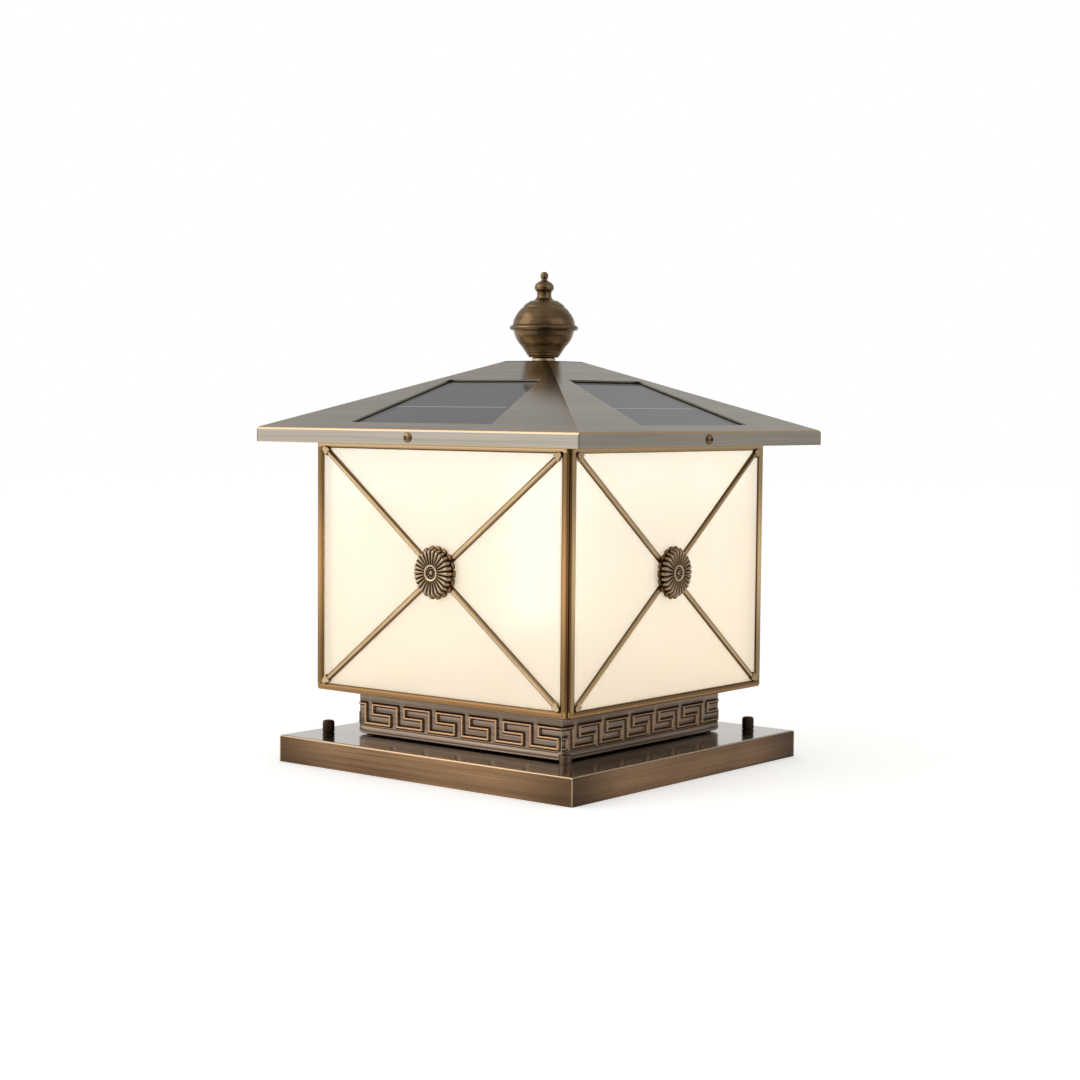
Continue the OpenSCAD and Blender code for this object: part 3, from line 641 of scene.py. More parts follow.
class PILLARLIGHT_OT_base(PillarOperator, bpy.types.Operator):
    """Finishes the tray, its strap, studs, nuts and the neck's feet"""

    bl_idname = "pillarlight.base"
    bl_label = "Base"

    # Places of the neck's feet, in millimetres
    FEET = ((98.6, -95.4), (89.0, 89.0), (-89.0, 89.0), (-89.0, -89.0))
    FOOT_RADIUS = 4.5 * MM
    FOOT_HEIGHT = 5.9 * MM
    NUT_RADIUS = 4.5 * MM
    WASHER_RADIUS = 4.6 * MM
    # From a stud's middle to the edge of its packed washer, in millimetres
    WASHER_REACH = 5.0
    # Where the tray's edges with the painted highlight start, from its middle and from the ground
    RIM_OUT = 137.2 * MM
    RIM_UP = 19.1 * MM

    def build(self, scene):
        colours = scene.pillar_finishes
        paint(["base_tray"], self.tray_finish(colours).material)
        zinc = brushed_metal("zinc_plate", "8C8D8F", "B4B5B8", 0.35)
        paint(["mounting_strap", "strap_studs", "tie_rod"], zinc.material)
        paint(["rod_nuts", "rivet_nuts", "switch_nut"], zinc.material)
        dark = brushed_metal("blackened_steel", "241C16", "4A3A2C", 0.3)
        feet = brushed_metal("dark_bronze_feet", "5A493B", "8A7462", 0.34)
        self.feet(feet.material)
        self.nuts(dark.material)

    def feet(self, material):
        """Round feet with a softened edge. The front right one stands out from under the neck."""
        low = node_low("corner_feet").z
        high, radius = low + self.FOOT_HEIGHT, self.FOOT_RADIUS
        outline = [(0, low, 0), (radius, low, 0.3 * MM), (radius, high, 0.8 * MM), (0, high, 0)]
        outline = rounded_outline(outline, 4)
        self.copies("neck_foot_0", outline, self.FEET, material, "corner_feet", "dark_bronze")

    def nuts(self, material):
        """Round cap nuts on small washers."""
        low, high, radius = node_low("dome_nuts").z, node_high("dome_nuts").z, self.NUT_RADIUS
        stud = (node_high("stud_washers").x / MM - self.WASHER_REACH,) * 2
        studs = (stud, (-stud[0], -stud[1]))
        nut = [(0, low, 0), (radius - 0.6 * MM, low, 0), (radius - 0.6 * MM, low + 0.2 * MM, 0)]
        nut += [(radius, low + 0.8 * MM, 0.5 * MM), (radius, high - 0.3 * MM, 3.2 * MM), (0, high, 0)]
        self.copies("cap_nuts", rounded_outline(nut, 6), studs, material, "dome_nuts", "fastener_dark")
        base, radius = node_low("stud_washers").z, self.WASHER_RADIUS
        washer = [(0, base, 0), (radius, base, 0), (radius, low, 0.3 * MM), (0, low, 0)]
        washer = rounded_outline(washer, 3)
        self.copies("nut_washers", washer, studs, material, "stud_washers", "fastener_dark")

    def copies(self, name, outline, places, material, node, slot):
        """One piece of turned bodies that stand at the places, given in millimetres, instead of a node."""
        bodies = []
        for index, (x, y) in enumerate(places):
            body = turned("%s_%d" % (name, index) if index else name, outline, material, 40)
            body.data.transform(Matrix.Translation((x * MM, y * MM, 0)))
            bodies.append(body)
        stand_in(joined(bodies[0], bodies[1:]), node)

    def tray_finish(self, colours):
        """Brush lines run along the sides. The top is smoother. Painted shade darkens the sides towards the
        corners and on the right-facing side, and a painted highlight brightens the edges.
        """
        finish = Finish("brushed_tray", Metallic=1.0)
        nodes = finish.nodes
        x, y, z = nodes.axes()
        up = abs(nodes.facing()[2]).ramp(0.5, 0.8)
        side, top = brush_lines(nodes, 2), brush_lines(nodes, 1)
        streak = side + (top - side) * up
        cloud = nodes.noise((7.0, 7.0, 40.0), 3.0)
        tone = streak.ramp(0.36, 0.64) * 0.6 + cloud.ramp(0.3, 0.7) * 0.4
        plate = nodes.mix(tone, tuple(colours.tray_dark), tuple(colours.tray_light))
        # Painted shade: the right-facing side, and the sides towards their corners, are darkened.
        painted_shade_side = nodes.facing()[0].ramp(0.5, 0.9)
        end = abs(x).smaller(abs(y)).ramp(70 * MM, 142 * MM)
        plate = nodes.mix(end * 0.6 + painted_shade_side * 0.2, plate, "2A211B")
        plate = nodes.mix(up * 0.9, plate, "ABA59C")
        # Painted highlight along the top edges and the corners, weaker on the right-facing side.
        rim = (abs(x) > self.RIM_OUT) + (abs(y) > self.RIM_OUT) + (z > self.RIM_UP)
        finish.set(
            Base_Color=nodes.mix((rim > 1.5) * (0.5 - painted_shade_side * 0.2), plate, "EACAA0"),
            Roughness=0.26 - up * 0.09 + (streak - 0.5) * 0.14,
            Normal=nodes.bump(streak, 0.3),
        )
        return finish


# Neck


class PILLARLIGHT_OT_neck(PillarOperator, bpy.types.Operator):
    """Makes the four pressed neck panels with the key pattern in relief"""

    bl_idname = "pillarlight.neck"
    bl_label = "Neck"

    # Half the length of a panel, and how far its sheet is folded back
    HALF = 96.0 * MM
    FOLD = 2.0 * MM
    # Where the pattern starts on the front and back, how much later on the other two, and its height
    FIRST = 6.6 * MM
    SHIFT = 5.4 * MM
    PATTERN_UP = 6.7 * MM
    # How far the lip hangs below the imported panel, and the plain border under the upper edge
    LIP_DROP = 1.2 * MM
    BORDER = 3.0 * MM

    # Height of the relief over the distance from the middle of its line, both in shares of the line's width
    RIDGE = [
        (0.0, 0.75), (0.18, 0.74), (0.34, 0.66), (0.45, 0.42),
        (0.53, 0.06), (0.64, -0.11), (0.80, -0.12), (1.05, 0.0),
    ]

    # The lip along the lower edge, a bead under a slope: height over the edge and stand-out, in millimetres
    LIP_PLACES = [
        (0.0, 0.6), (0.25, 0.95), (0.7, 1.15), (1.15, 1.0), (1.5, 0.55), (1.75, 0.4), (2.0, 0.75), (2.4, 1.0),
        (3.4, 0.72), (4.6, 0.35), (5.0, 0.1), (5.3, -0.15), (5.7, 0.0),
    ]

    def build(self, scene):
        sizes = scene.pillar_sizes
        material = self.finish().material
        for index, name in enumerate(SIDES):
            first = self.FIRST + self.SHIFT * (index % 2)
            panel = self.panel("neck_panel_" + name, sizes, first, material)
            panel.data.transform(side_turn(index))
            stand_in(panel, "neck_" + name)

    def panel(self, name, sizes, first, material):
        """One panel: a grid over its front, raised by the relief and the lip, with its edges folded back."""
        half = self.HALF
        low, high = node_low("neck_front").z, node_high("neck_front").z
        middle = low + self.PATTERN_UP + sizes.key_height / 2
        low -= self.LIP_DROP
        strokes = self.strokes(half, first, sizes, middle)
        reach = [d * sizes.key_line for d, _ in self.RIDGE]
        offsets = sorted({s * d for d in reach for s in (-1, 1)})
        centres = sorted({round(p[0], 7) for stroke in strokes for p in stroke})
        columns = {-half, half} | {c + o for c in centres for o in offsets if abs(c + o) < half}
        levels = {middle + s * sizes.key_height / 2 + o for s in (-1, 0, 1) for o in offsets}
        rim = [r for r, _ in self.LIP_PLACES]
        levels |= {low + r * MM for r in rim} | {high, high - self.BORDER}
        columns |= {s * (half - r * MM) for s in (-1, 1) for r in (0.4, 1.2, 2.5, 4.0)}
        columns, levels = self.thinned(columns), self.thinned(levels)
        grid_x, grid_z = np.meshgrid(columns, levels)
        relief = self.relief(grid_x, grid_z, strokes, sizes)
        to_end = half - np.abs(grid_x)
        relief *= np.interp(to_end, [0.0, 0.4 * MM, 2.5 * MM], [0.35, 0.5, 1.0])
        lip = np.interp(grid_z - low, [r * MM for r in rim], [h * MM for _, h in self.LIP_PLACES])
        relief += lip * np.interp(to_end, [0.0, 3.5 * MM], [0.3, 1.0])
        rise = np.interp(to_end, [0.0, 1.2 * MM, 4 * MM], [1.1 * MM, 0.4 * MM, 0.0])
        grid_z = grid_z + rise * np.interp(grid_z - low, [0.0, 4 * MM], [1.0, 0.0])
        across = grid_x * (half + relief * (np.abs(grid_x) > half - 1e-6)) / half
        wide, tall = len(columns), len(levels)
        points = [(x, -half - h, z) for x, h, z in zip(across.ravel(), relief.ravel(), grid_z.ravel())]
        faces = [
            (r * wide + c, r * wide + c + 1, (r + 1) * wide + c + 1, (r + 1) * wide + c)
            for r in range(tall - 1)
            for c in range(wide - 1)
        ]
        border = list(range(wide)) + [r * wide + wide - 1 for r in range(1, tall)]
        border += [(tall - 1) * wide + c for c in range(wide - 2, -1, -1)]
        border += [r * wide for r in range(tall - 2, 0, -1)]
        inner = half - self.FOLD
        start = len(points)
        for i in border:
            points.append((grid_x.flat[i] * inner / half, -inner, grid_z.flat[i]))
        count = len(border)
        for i in range(count):
            j = (i + 1) % count
            faces.append((border[j], border[i], start + i, start + j))
        faces.append(tuple(range(start + count - 1, start - 1, -1)))
        piece = new_piece(name, points, faces, material, sharp=50)
        set_attribute(piece, "relief", np.concatenate([relief.ravel() / MM, np.full(count, -1.0)]))
        return piece

    def thinned(self, values):
        """The sorted values without those that nearly repeat."""
        kept = []
        for value in sorted(values):
            if not kept or value - kept[-1] > 0.04 * MM:
                kept.append(value)
        return kept

    def strokes(self, half, first, sizes, middle):
        """The straight strokes of the key pattern, as pairs of points, cut off past the panel's ends."""
        pitch, top = sizes.key_pitch, sizes.key_height / 2
        made = []
        for n in range(-1, 8):
            x = -half + first + n * pitch
            path = [(x, top), (x, -top), (x + 0.77 * pitch, -top), (x + 0.77 * pitch, 0.0)]
            path += [(x + 0.23 * pitch, 0.0), (x + 0.23 * pitch, top), (x + pitch, top)]
            path = [(px, middle + pz) for px, pz in path]
            made += [pair for pair in zip(path, path[1:]) if min(pair[0][0], pair[1][0]) < half + 4 * MM]
        return made

    def relief(self, grid_x, grid_z, strokes, sizes):
        """Height of the pressed line over the field, for each point of the grid."""
        nearest = np.full(grid_x.shape, 1.0)
        for (x0, z0), (x1, z1) in strokes:
            off_x = np.maximum(np.abs(grid_x - (x0 + x1) / 2) - abs(x1 - x0) / 2, 0)
            off_z = np.maximum(np.abs(grid_z - (z0 + z1) / 2) - abs(z1 - z0) / 2, 0)
            nearest = np.minimum(nearest, np.maximum(off_x, off_z))
        places = [d * sizes.key_line for d, _ in self.RIDGE]
        heights = [h * sizes.key_line for _, h in self.RIDGE]
        return np.interp(nearest, places, heights)

    def finish(self):
        """Dark brushed field. The hollows beside the ridges are near-black, partly patina and partly painted
        shade. The ridges get a painted highlight, dimmer on the right-facing side as painted shade.
        """
        finish = Finish("pressed_bronze", Metallic=1.0)
        nodes = finish.nodes
        streak = brush_lines(nodes, 2)
        relief = nodes.attribute("relief")
        field = nodes.mix(streak.ramp(0.35, 0.65), "77685A", "AC9886")
        # Near-black hollows beside the ridges: partly patina, partly painted shade.
        hollow = nodes.mix((0.0 - relief).ramp(0.02, 0.16), field, "2A2019")
        low = nodes.axes()[2] < 27 * MM
        # Painted highlight on the ridges. On the right-facing side it is dimmer, which is painted shade.
        worn = relief.ramp(0.6, 1.25) * (0.75 + streak * 0.5) * (1 - low)
        painted_shade_side = nodes.facing()[0].ramp(0.5, 0.9)
        highlighted = nodes.mix(painted_shade_side, "DCAE84", "AC8C68")
        finish.set(
            Base_Color=nodes.mix(worn, hollow, highlighted),
            Roughness=0.34 + (streak - 0.5) * 0.2 - worn * 0.08,
            Normal=nodes.bump(streak, 0.4),
        )
        return finish


# Cage


class PILLARLIGHT_OT_cage(PillarOperator, bpy.types.Operator):
    """Makes the face frames with crowned bars and finishes the posts and the floor"""

    bl_idname = "pillarlight.cage"
    bl_label = "Cage"

    # The bar's section: share of its width from the outside in, and height over its back, in millimetres
    SECTION = [
        (0.0, 0.0), (0.0, 1.15), (0.02, 1.42), (0.07, 1.72), (0.15, 1.98), (0.26, 2.18), (0.38, 2.28),
        (0.50, 2.30), (0.62, 2.22), (0.73, 2.02), (0.81, 1.75), (0.86, 1.52), (0.90, 1.45), (0.95, 1.42),
        (0.985, 1.3), (1.0, 1.0), (1.0, 0.0),
    ]
    # Widths of the upright and level bars, rounding of the outer corners, and the upper bar's extra width
    STILE = 5.7 * MM
    RAIL = 5.0 * MM
    CORNER = 2.6 * MM
    TOP_EXTRA = 1.0 * MM
    # Height where the stiles and posts get the painted highlight and are brightest, and how far that reaches
    BRIGHT = (150 * MM, 75 * MM)
    # The frame's middle height, and where its level bars start above and below it
    MIDDLE = 147.05 * MM
    LEVEL_FROM = 87.6 * MM

    def build(self, scene):
        material = self.bar_finish().material
        for index, name in enumerate(SIDES):
            bars = self.bars("frame_bars_" + name, material)
            bars.data.transform(side_turn(index))
            stand_in(bars, "frame_" + name)
        posts = Finish("dark_post", Metallic=1.0, Roughness=0.32)
        nodes = posts.nodes
        streak = nodes.noise((BRUSH_FINE, BRUSH_FINE, BRUSH_LONG), 2.0)
        # Painted highlight on the posts at mid height, painted shade towards their ends.
        middle = nodes.axes()[2].near(*self.BRIGHT) * 0.7 + streak * 0.3
        posts.set(Base_Color=nodes.mix(middle, "3C2818", "C8945E"), Normal=nodes.bump(streak, 0.3))
        paint(["post_" + c for c in ("front_right", "back_right", "back_left", "front_left")], posts.material)
        floor = brushed_metal("cage_floor_bronze", "4A3826", "7A5C3C", 0.36)
        paint(["cage_floor"], floor.material)
        paint(["cage_seal", "solar_gaskets"], rubber_finish().material)

    def bars(self, name, material):
        """One frame as rounded loops of the bar's section."""
        low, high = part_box("frame_front")
        half_w, half_h = (high.x - low.x) / 2, (high.z - low.z) / 2
        middle, back = (high.z + low.z) / 2, high.y
        steps = 6
        points, across = [], []
        for share, height in self.SECTION:
            wide, tall = half_w - share * self.STILE, half_h - share * self.RAIL
            bend = max(self.CORNER - share * self.RAIL, 0.05 * MM)
            for quarter in range(4):
                sx, sz = ((1, 1), (-1, 1), (-1, -1), (1, -1))[quarter]
                for k in range(steps + 1):
                    turn = math.pi / 2 * (quarter + k / steps)
                    x = sx * (wide - bend) + bend * math.cos(turn)
                    z = sz * (tall - bend) + bend * math.sin(turn)
                    z -= max(0, sz) * share * self.TOP_EXTRA
                    points.append((x, back - height * MM, middle + z))
                    across.append(share)
        ring = 4 * (steps + 1)
        loops = len(self.SECTION)
        faces = []
        for a in range(loops):
            b = (a + 1) % loops
            for i in range(ring):
                j = (i + 1) % ring
                faces.append((a * ring + j, a * ring + i, b * ring + i, b * ring + j))
        piece = new_piece(name, points, faces, material, sharp=40)
        set_attribute(piece, "across", across)
        return piece

    def bar_finish(self):
        """Painted highlight and shade: the uprights are brightest at mid height and when facing right, and
        lighter over each bar's crown than at its edges. Of the level bars, the upper one is paler.
        """
        finish = Finish("bronze_bar", Metallic=1.0)
        nodes = finish.nodes
        z = nodes.axes()[2]
        level = abs(z - self.MIDDLE) > self.LEVEL_FROM
        upright, along = nodes.noise((BRUSH_FINE, BRUSH_FINE, BRUSH_LONG), 2.0), brush_lines(nodes, 2)
        streak = upright + (along - upright) * level
        place = nodes.attribute("across") + (streak - 0.5) * 0.12
        # Across each bar: painted highlight over the crown, painted shade at both edges. The right-facing
        # stiles get a brighter copy of these tones, which is painted light.
        near = nodes.colours(
            place, (0.0, "74502E"), (0.14, "A87C4C"), (0.40, "CBA06A"), (0.78, "B88A50"), (1.0, "6A4826")
        )
        turned = nodes.colours(
            place, (0.0, "B08452"), (0.14, "E8BE88"), (0.32, "FFE0AC"), (0.85, "FFDCA4"), (1.0, "A88250")
        )
        stile = nodes.mix(nodes.facing()[0].ramp(0.3, 0.7), near, turned)
        # Painted shade darkens the stiles away from mid height.
        stile = nodes.mix((1 - z.near(*self.BRIGHT)) * 0.55, stile, "2E2014")
        lower = nodes.colours(
            place, (0.0, "6A4C2E"), (0.12, "A27C52"), (0.5, "A27C52"), (0.8, "80603E"), (1.0, "3E2A18")
        )
        # Painted highlight along the outer edge of the front-facing lower rails.
        edge = (1 - abs(nodes.facing()[0]).ramp(0.3, 0.7)) * (place < 0.22)
        lower = nodes.mix(edge * 0.5, lower, "E8BE8A")
        # The upper rail gets a paler, lit copy of the lower rail's tones: painted highlight.
        upper = nodes.colours(
            place, (0.0, "7A6040"), (0.12, "B08E62"), (0.5, "DCBE94"), (0.8, "B8966A"), (1.0, "5E4830")
        )
        rail = nodes.mix(z > self.MIDDLE, lower, upper)
        finish.set(
            Base_Color=nodes.mix(level, stile, rail),
            Roughness=0.24 + (streak - 0.5) * 0.2,
            Normal=nodes.bump(streak, 0.3),
        )
        return finish


def rubber_finish():
    finish = Finish("black_rubber", Roughness=0.7, Specular_IOR_Level=0.1)
    grain = finish.nodes.noise(900.0, 2.0)
    return finish.set(Base_Color=finish.nodes.mix(grain, "060606", "101010"))


# Glass


class PILLARLIGHT_OT_glass(PillarOperator, bpy.types.Operator):
    """Finishes the lit opal panes and the lamp behind them"""

    bl_idname = "pillarlight.glass"
    bl_label = "Glass and lamp"

    # Lower edge and height of the panes, how strongly their outer side shows the painted glow, and the inner
    # side's share of it
    PANE_LOW = 56 * MM
    PANE_HEIGHT = 184 * MM
    PANE_PAINTED_GLOW = 0.352
    INNER_SHARE = 0.8
    # How far the lamp's chips stand out of their boards, less a play, and how strongly they glow
    CHIP_RISE = 1.0 * MM
    CHIP_GLOW = 160.0

    def build(self, scene):
        colours = scene.pillar_finishes
        paint(["glass_" + name for name in SIDES], self.opal(colours).material)
        white = Finish("lamp_white", Roughness=0.5)
        grain = white.nodes.noise(300.0, 2.0)
        white.set(Base_Color=white.nodes.mix(grain, "A8A69E", "B4B2A8"))
        x, y, _ = white.nodes.axes()
        chip = abs(x).larger(abs(y)) > node_high("led_boards").x - self.CHIP_RISE
        white.set(Emission_Color=white.nodes.mix(chip, "000000", "FFF6E6"), Emission_Strength=self.CHIP_GLOW)
        paint(["led_boards"], white.material)
        aluminium = brushed_metal("extruded_aluminium", "B0B0B2", "D2D2D4", 0.35, axis=0)
        paint(["lamp_column", "lamp_stem"], aluminium.material)
        cap = Finish("white_plastic", Roughness=0.45)
        mottle = cap.nodes.noise(200.0, 2.0)
        paint(["lamp_end_cap"], cap.set(Base_Color=cap.nodes.mix(mottle, "E6E4DC", "F2F0EA")).material)

    def opal(self, colours):
        """Lit glass with a painted glow for the lamp's light in it, dimmer towards the bottom. It is a little
        clear, so that the lamp behind it shows as a soft bright patch.
        """
        finish = Finish("opal_glass", Roughness=0.45, Transmission_Weight=0.45, IOR=1.25)
        finish.set(Coat_Weight=0.25, Coat_Roughness=0.05)
        nodes = finish.nodes
        x, y, z = nodes.axes()
        out_x, out_y, _ = nodes.facing()
        outer = x * out_x + y * out_y > 0.0
        mottle = nodes.noise(18.0, 3.0)
        # Painted glow: the pane itself emits light, dimmer and warmer towards the bottom.
        painted_glow = nodes.colours(
            (z - self.PANE_LOW) / self.PANE_HEIGHT + (mottle - 0.5) * 0.10,
            (0.0, "CCBCA1"), (0.3, "CFC4B2"), (0.7, tuple(colours.painted_glow)), (1.0, "F8F6ED"),
        )
        base = nodes.mix(mottle, "EFE7D7", "F3EDE2")
        strength = (self.INNER_SHARE + outer * (1.0 - self.INNER_SHARE)) * self.PANE_PAINTED_GLOW
        return finish.set(Base_Color=base, Emission_Color=painted_glow, Emission_Strength=strength)


# Crossed bars


class PILLARLIGHT_OT_crosses(PillarOperator, bpy.types.Operator):
    """Makes the crossed half-round bars with their soldered ends"""

    bl_idname = "pillarlight.crosses"
    bl_label = "Crossed bars"

    # Half section: distance from the bar's middle and height over the glass, in millimetres
    SECTION = [
        (2.4, 0.0), (2.4, 0.75), (2.25, 0.95), (1.95, 1.0),
        (1.8, 1.2), (1.45, 1.72), (0.95, 2.05), (0.4, 2.2),
    ]
    WIDTH = 4.8 * MM
    # How far a bar stops short of the pane's corner, the length of its taper, and its width there as a share
    SHORT = 1.2 * MM
    TAPER = 5 * MM
    END_SHARE = 0.62

    def build(self, scene):
        low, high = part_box("cross_front")
        material = self.finish().material
        for index, name in enumerate(SIDES):
            bars = self.bars("crossed_bars_" + name, low, high, material)
            bars.data.transform(side_turn(index))
            stand_in(bars, "cross_" + name)

    def bars(self, name, low, high, material):
        """Two bars over each other, cut square to the pane's corners, and a soldered tab at each end."""
        wide, tall, middle, back = high.x, (high.z - low.z) / 2, (high.z + low.z) / 2, high.y
        lean = math.atan2(tall, wide)
        length = math.hypot(wide, tall) - self.SHORT
        section = [(u * MM, h * MM) for u, h in self.SECTION]
        section = section + [(-u, h) for u, h in reversed(section)]
        points, faces, across = [], [], []
        for sign in (-1, 1):
            turn = lean * sign
            along = Vector((math.cos(turn), 0, math.sin(turn)))
            aside = Vector((-math.sin(turn), 0, math.cos(turn)))
            start = len(points)
            stations = [-length, -length + self.TAPER, 0.0, length - self.TAPER, length]
            for station in stations:
                narrow = self.END_SHARE if abs(station) == length else 1.0
                for u, h in section:
                    point = Vector((0, back - h, middle)) + along * station + aside * u * narrow
                    point.x = max(-wide, min(wide, point.x))
                    point.z = max(middle - tall, min(middle + tall, point.z))
                    points.append(tuple(point))
                    across.append(0.5 + u / self.WIDTH)
            count = len(section)
            for s in range(len(stations) - 1):
                for i in range(count):
                    j = (i + 1) % count
                    a, b = start + s * count, start + (s + 1) * count
                    faces.append((a + i, b + i, b + j, a + j))
            faces.append(tuple(start + i for i in range(count)))
            last = start + (len(stations) - 1) * count
            faces.append(tuple(last + i for i in reversed(range(count))))
            for end in (-1, 1):
                self.tab(points, faces, along * end, aside, Vector((0, back, middle)), (wide, tall), across)
        piece = new_piece(name, points, faces, material, sharp=38)
        set_attribute(piece, "across", across)
        return piece

    def tab(self, points, faces, along, aside, centre, reach, across):
        """A small forked clip, soldered over the end of a bar in the pane's corner."""
        far = math.hypot(*reach)
        outline = [(-6.5, 1.2), (-7.2, 2.7), (-5.2, 3.0), (-3.8, 2.3), (-2.2, 2.1), (0.0, 2.8), (1.0, 2.8)]
        outline += [(u, -v) for u, v in reversed(outline)]
        start = len(points)
        for lift in (0.0, 2.35, 2.65):
            inset = 0.9 if lift > 2.5 else 1.0
            for u, v in outline:
                point = centre + along * (far + u * inset * MM) + aside * v * inset * MM
                point.x = max(-reach[0], min(reach[0], point.x))
                point.z = max(centre.z - reach[1], min(centre.z + reach[1], point.z))
                points.append((point.x, centre.y - lift * MM, point.z))
                across.append(0.28 if lift > 2.5 else 0.08)
        count = len(outline)
        for ring in (start, start + count):
            for i in range(count):
                j = (i + 1) % count
                faces.append((ring + i, ring + j, ring + count + j, ring + count + i))
        faces.append(tuple(range(start, start + count)))
        faces.append(tuple(range(start + 2 * count, start + 3 * count)))

    def finish(self):
        """Painted highlight along the crown, and painted shade at the edges."""
        finish = Finish("champagne_bar", Metallic=1.0)
        nodes = finish.nodes
        grain = nodes.noise(1800.0, 2.0) * 0.5 + 0.25
        dark, mid, light = "54422E", "BC9C72", "F4D6AA"
        # Across the bar: painted shade at the edges, painted highlight on the crown.
        shade = nodes.colours(
            nodes.attribute("across") + (grain - 0.5) * 0.12,
            (0.0, dark), (0.16, mid), (0.42, light), (0.60, mid), (0.86, mid), (1.0, dark),
        )
        cloud = nodes.noise(20.0, 3.0).ramp(0.3, 0.7)
        finish.set(
            Base_Color=nodes.mix(cloud * 0.25, shade, dark),
            Roughness=0.24 + (grain - 0.5) * 0.2,
            Normal=nodes.bump(grain, 0.3),
        )
        return finish


# Rosettes


class PILLARLIGHT_OT_rosettes(PillarOperator, bpy.types.Operator):
    """Makes the rosettes: a scalloped back layer, a ring of narrow petals and the seeded button"""

    bl_idname = "pillarlight.rosettes"
    bl_label = "Rosettes"

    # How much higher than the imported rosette's middle the modelled one sits
    RAISE = 0.6 * MM
    # Height of the button's foot over the crossed bars' back
    BUTTON_UP = 3.9 * MM

    def build(self, scene):
        sizes = scene.pillar_sizes
        material = self.finish("rosette_bronze", ("2A1E14", "8C7256", "E0CCAE")).material
        warm = self.finish("rosette_back", ("34200F", "7A5436", "A88058")).material
        low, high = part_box("rosette_outer")
        middle = (low.z + high.z) / 2 + self.RAISE
        back = node_high("cross_back").y
        spread = 0.97 * math.pi / sizes.outer_petals
        outer = self.petal("rosette_scallops", 9.0, 19.2, spread, (0.3, 0.5), 1.0, 0.2, warm)
        turned_copies(outer, sizes.outer_petals, warm)
        self.add_disc(outer, (15.6, 1.0), (14.4, 3.2), warm)
        self.stand_up(outer, back, middle, warm, "rosette_outer", "champagne")
        spread = 0.95 * math.pi / sizes.inner_petals
        inner = self.petal("rosette_petals", 6.0, 17.2, spread, (3.9, 4.6), 1.8, 3.4, material)
        turned_copies(inner, sizes.inner_petals, material)
        self.add_disc(inner, (13.0, 3.0), (12.0, 3.9), material)
        self.stand_up(inner, back, middle, material, "rosette_inner", "champagne")
        button = self.button("rosette_seeds", material)
        self.stand_up(button, back + self.BUTTON_UP, middle, material, "rosette_buttons", "dark_bronze")

    def petal(self, name, root, tip, spread, rise, thick, curl, material):
        """One petal along X, crowned, its tip curled back. In millimetres, half its spread in radians."""
        rows, cols = 14, 8
        points, worn, faces = [], [], []
        for under in (False, True):
            for r in range(rows + 1):
                t = r / rows
                reach = root + (tip - root) * math.sin(t * math.pi / 2)
                end = max(0.0, (reach - (tip - 2.6)) / 2.6)
                width = reach * math.tan(spread) * math.sqrt(max(0.0, 1 - end**3))
                base = rise[0] + (rise[1] - rise[0]) * (reach - root) / (tip - root) - curl * end**2.4
                for c in range(cols + 1):
                    u = -1 + 2 * c / cols
                    crown = math.sqrt(max(0.0, 1 - abs(u) ** 2.0))
                    tall = base + (0.0 if under else thick * (0.12 + 0.88 * crown) * (1 - 0.45 * end**2))
                    points.append((reach * MM, u * width * MM, tall * MM))
                    # Painted highlight share: most on the crown, rising towards the tip.
                    worn.append(0.0 if under else crown**1.5 * (0.5 + 0.5 * t) * (1 - 0.35 * end**2))
        wide = cols + 1
        top = wide * (rows + 1)
        for r in range(rows):
            for c in range(cols):
                a = r * wide + c
                faces.append((a, a + wide, a + wide + 1, a + 1))
                faces.append((top + a, top + a + 1, top + a + wide + 1, top + a + wide))
        for r in range(rows):
            a, b = r * wide, r * wide + cols
            faces.append((a, top + a, top + a + wide, a + wide))
            faces.append((b + wide, top + b + wide, top + b, b))
        for c in range(cols):
            faces.append((c + 1, top + c + 1, top + c, c))
            e = rows * wide + c
            faces.append((e, top + e, top + e + 1, e + 1))
        piece = new_piece(name, points, faces, material, sharp=60)
        set_attribute(piece, "worn", worn)
        return piece

    def add_disc(self, piece, foot, top, material):
        """Joins a disc into the flower's middle. Its foot and top are (radius, height) in millimetres."""
        outline = [(0.0, 0.0), (foot[0], 0.0), foot, top, (0.0, top[1])]
        outline = [(r * MM, h * MM) for r, h in outline]
        joined(piece, [turned(piece.name + "_disc", outline, material, 48)])

    def button(self, name, material):
        """A rolled rim round a hollow, with a ring of seeds and a boss in the middle."""
        outline = [
            (0, 0, 0), (5.7, 0, 0), (6.1, 1.0, 0.3), (6.0, 2.0, 0.7), (5.1, 2.3, 0.7), (4.3, 1.5, 0.3),
            (3.9, 0.6, 0.2), (2.0, 0.5, 0.2), (1.8, 1.3, 0.4), (1.1, 1.7, 0.4), (0, 1.8, 0),
        ]
        points = rounded_outline([(r * MM, h * MM, b * MM) for r, h, b in outline], 3)
        piece = turned(name, points, material, 40)
        # Painted highlight share, rising with height on the button.
        set_attribute(piece, "worn", [(v.co.z / (2.3 * MM)) ** 1.5 for v in piece.data.vertices])
        outline = [(r * MM, h * MM) for r, h in ((0, 0), (0.6, 0), (0.55, 0.4), (0.3, 0.7), (0, 0.8))]
        seed = turned(name + "_seed", outline, material, 8)
        set_attribute(seed, "worn", [0.85] * len(seed.data.vertices))
        seed.data.transform(Matrix.Translation((3.2 * MM, 0, 0.5 * MM)))
        turned_copies(seed, 10, material)
        return joined(piece, [seed])

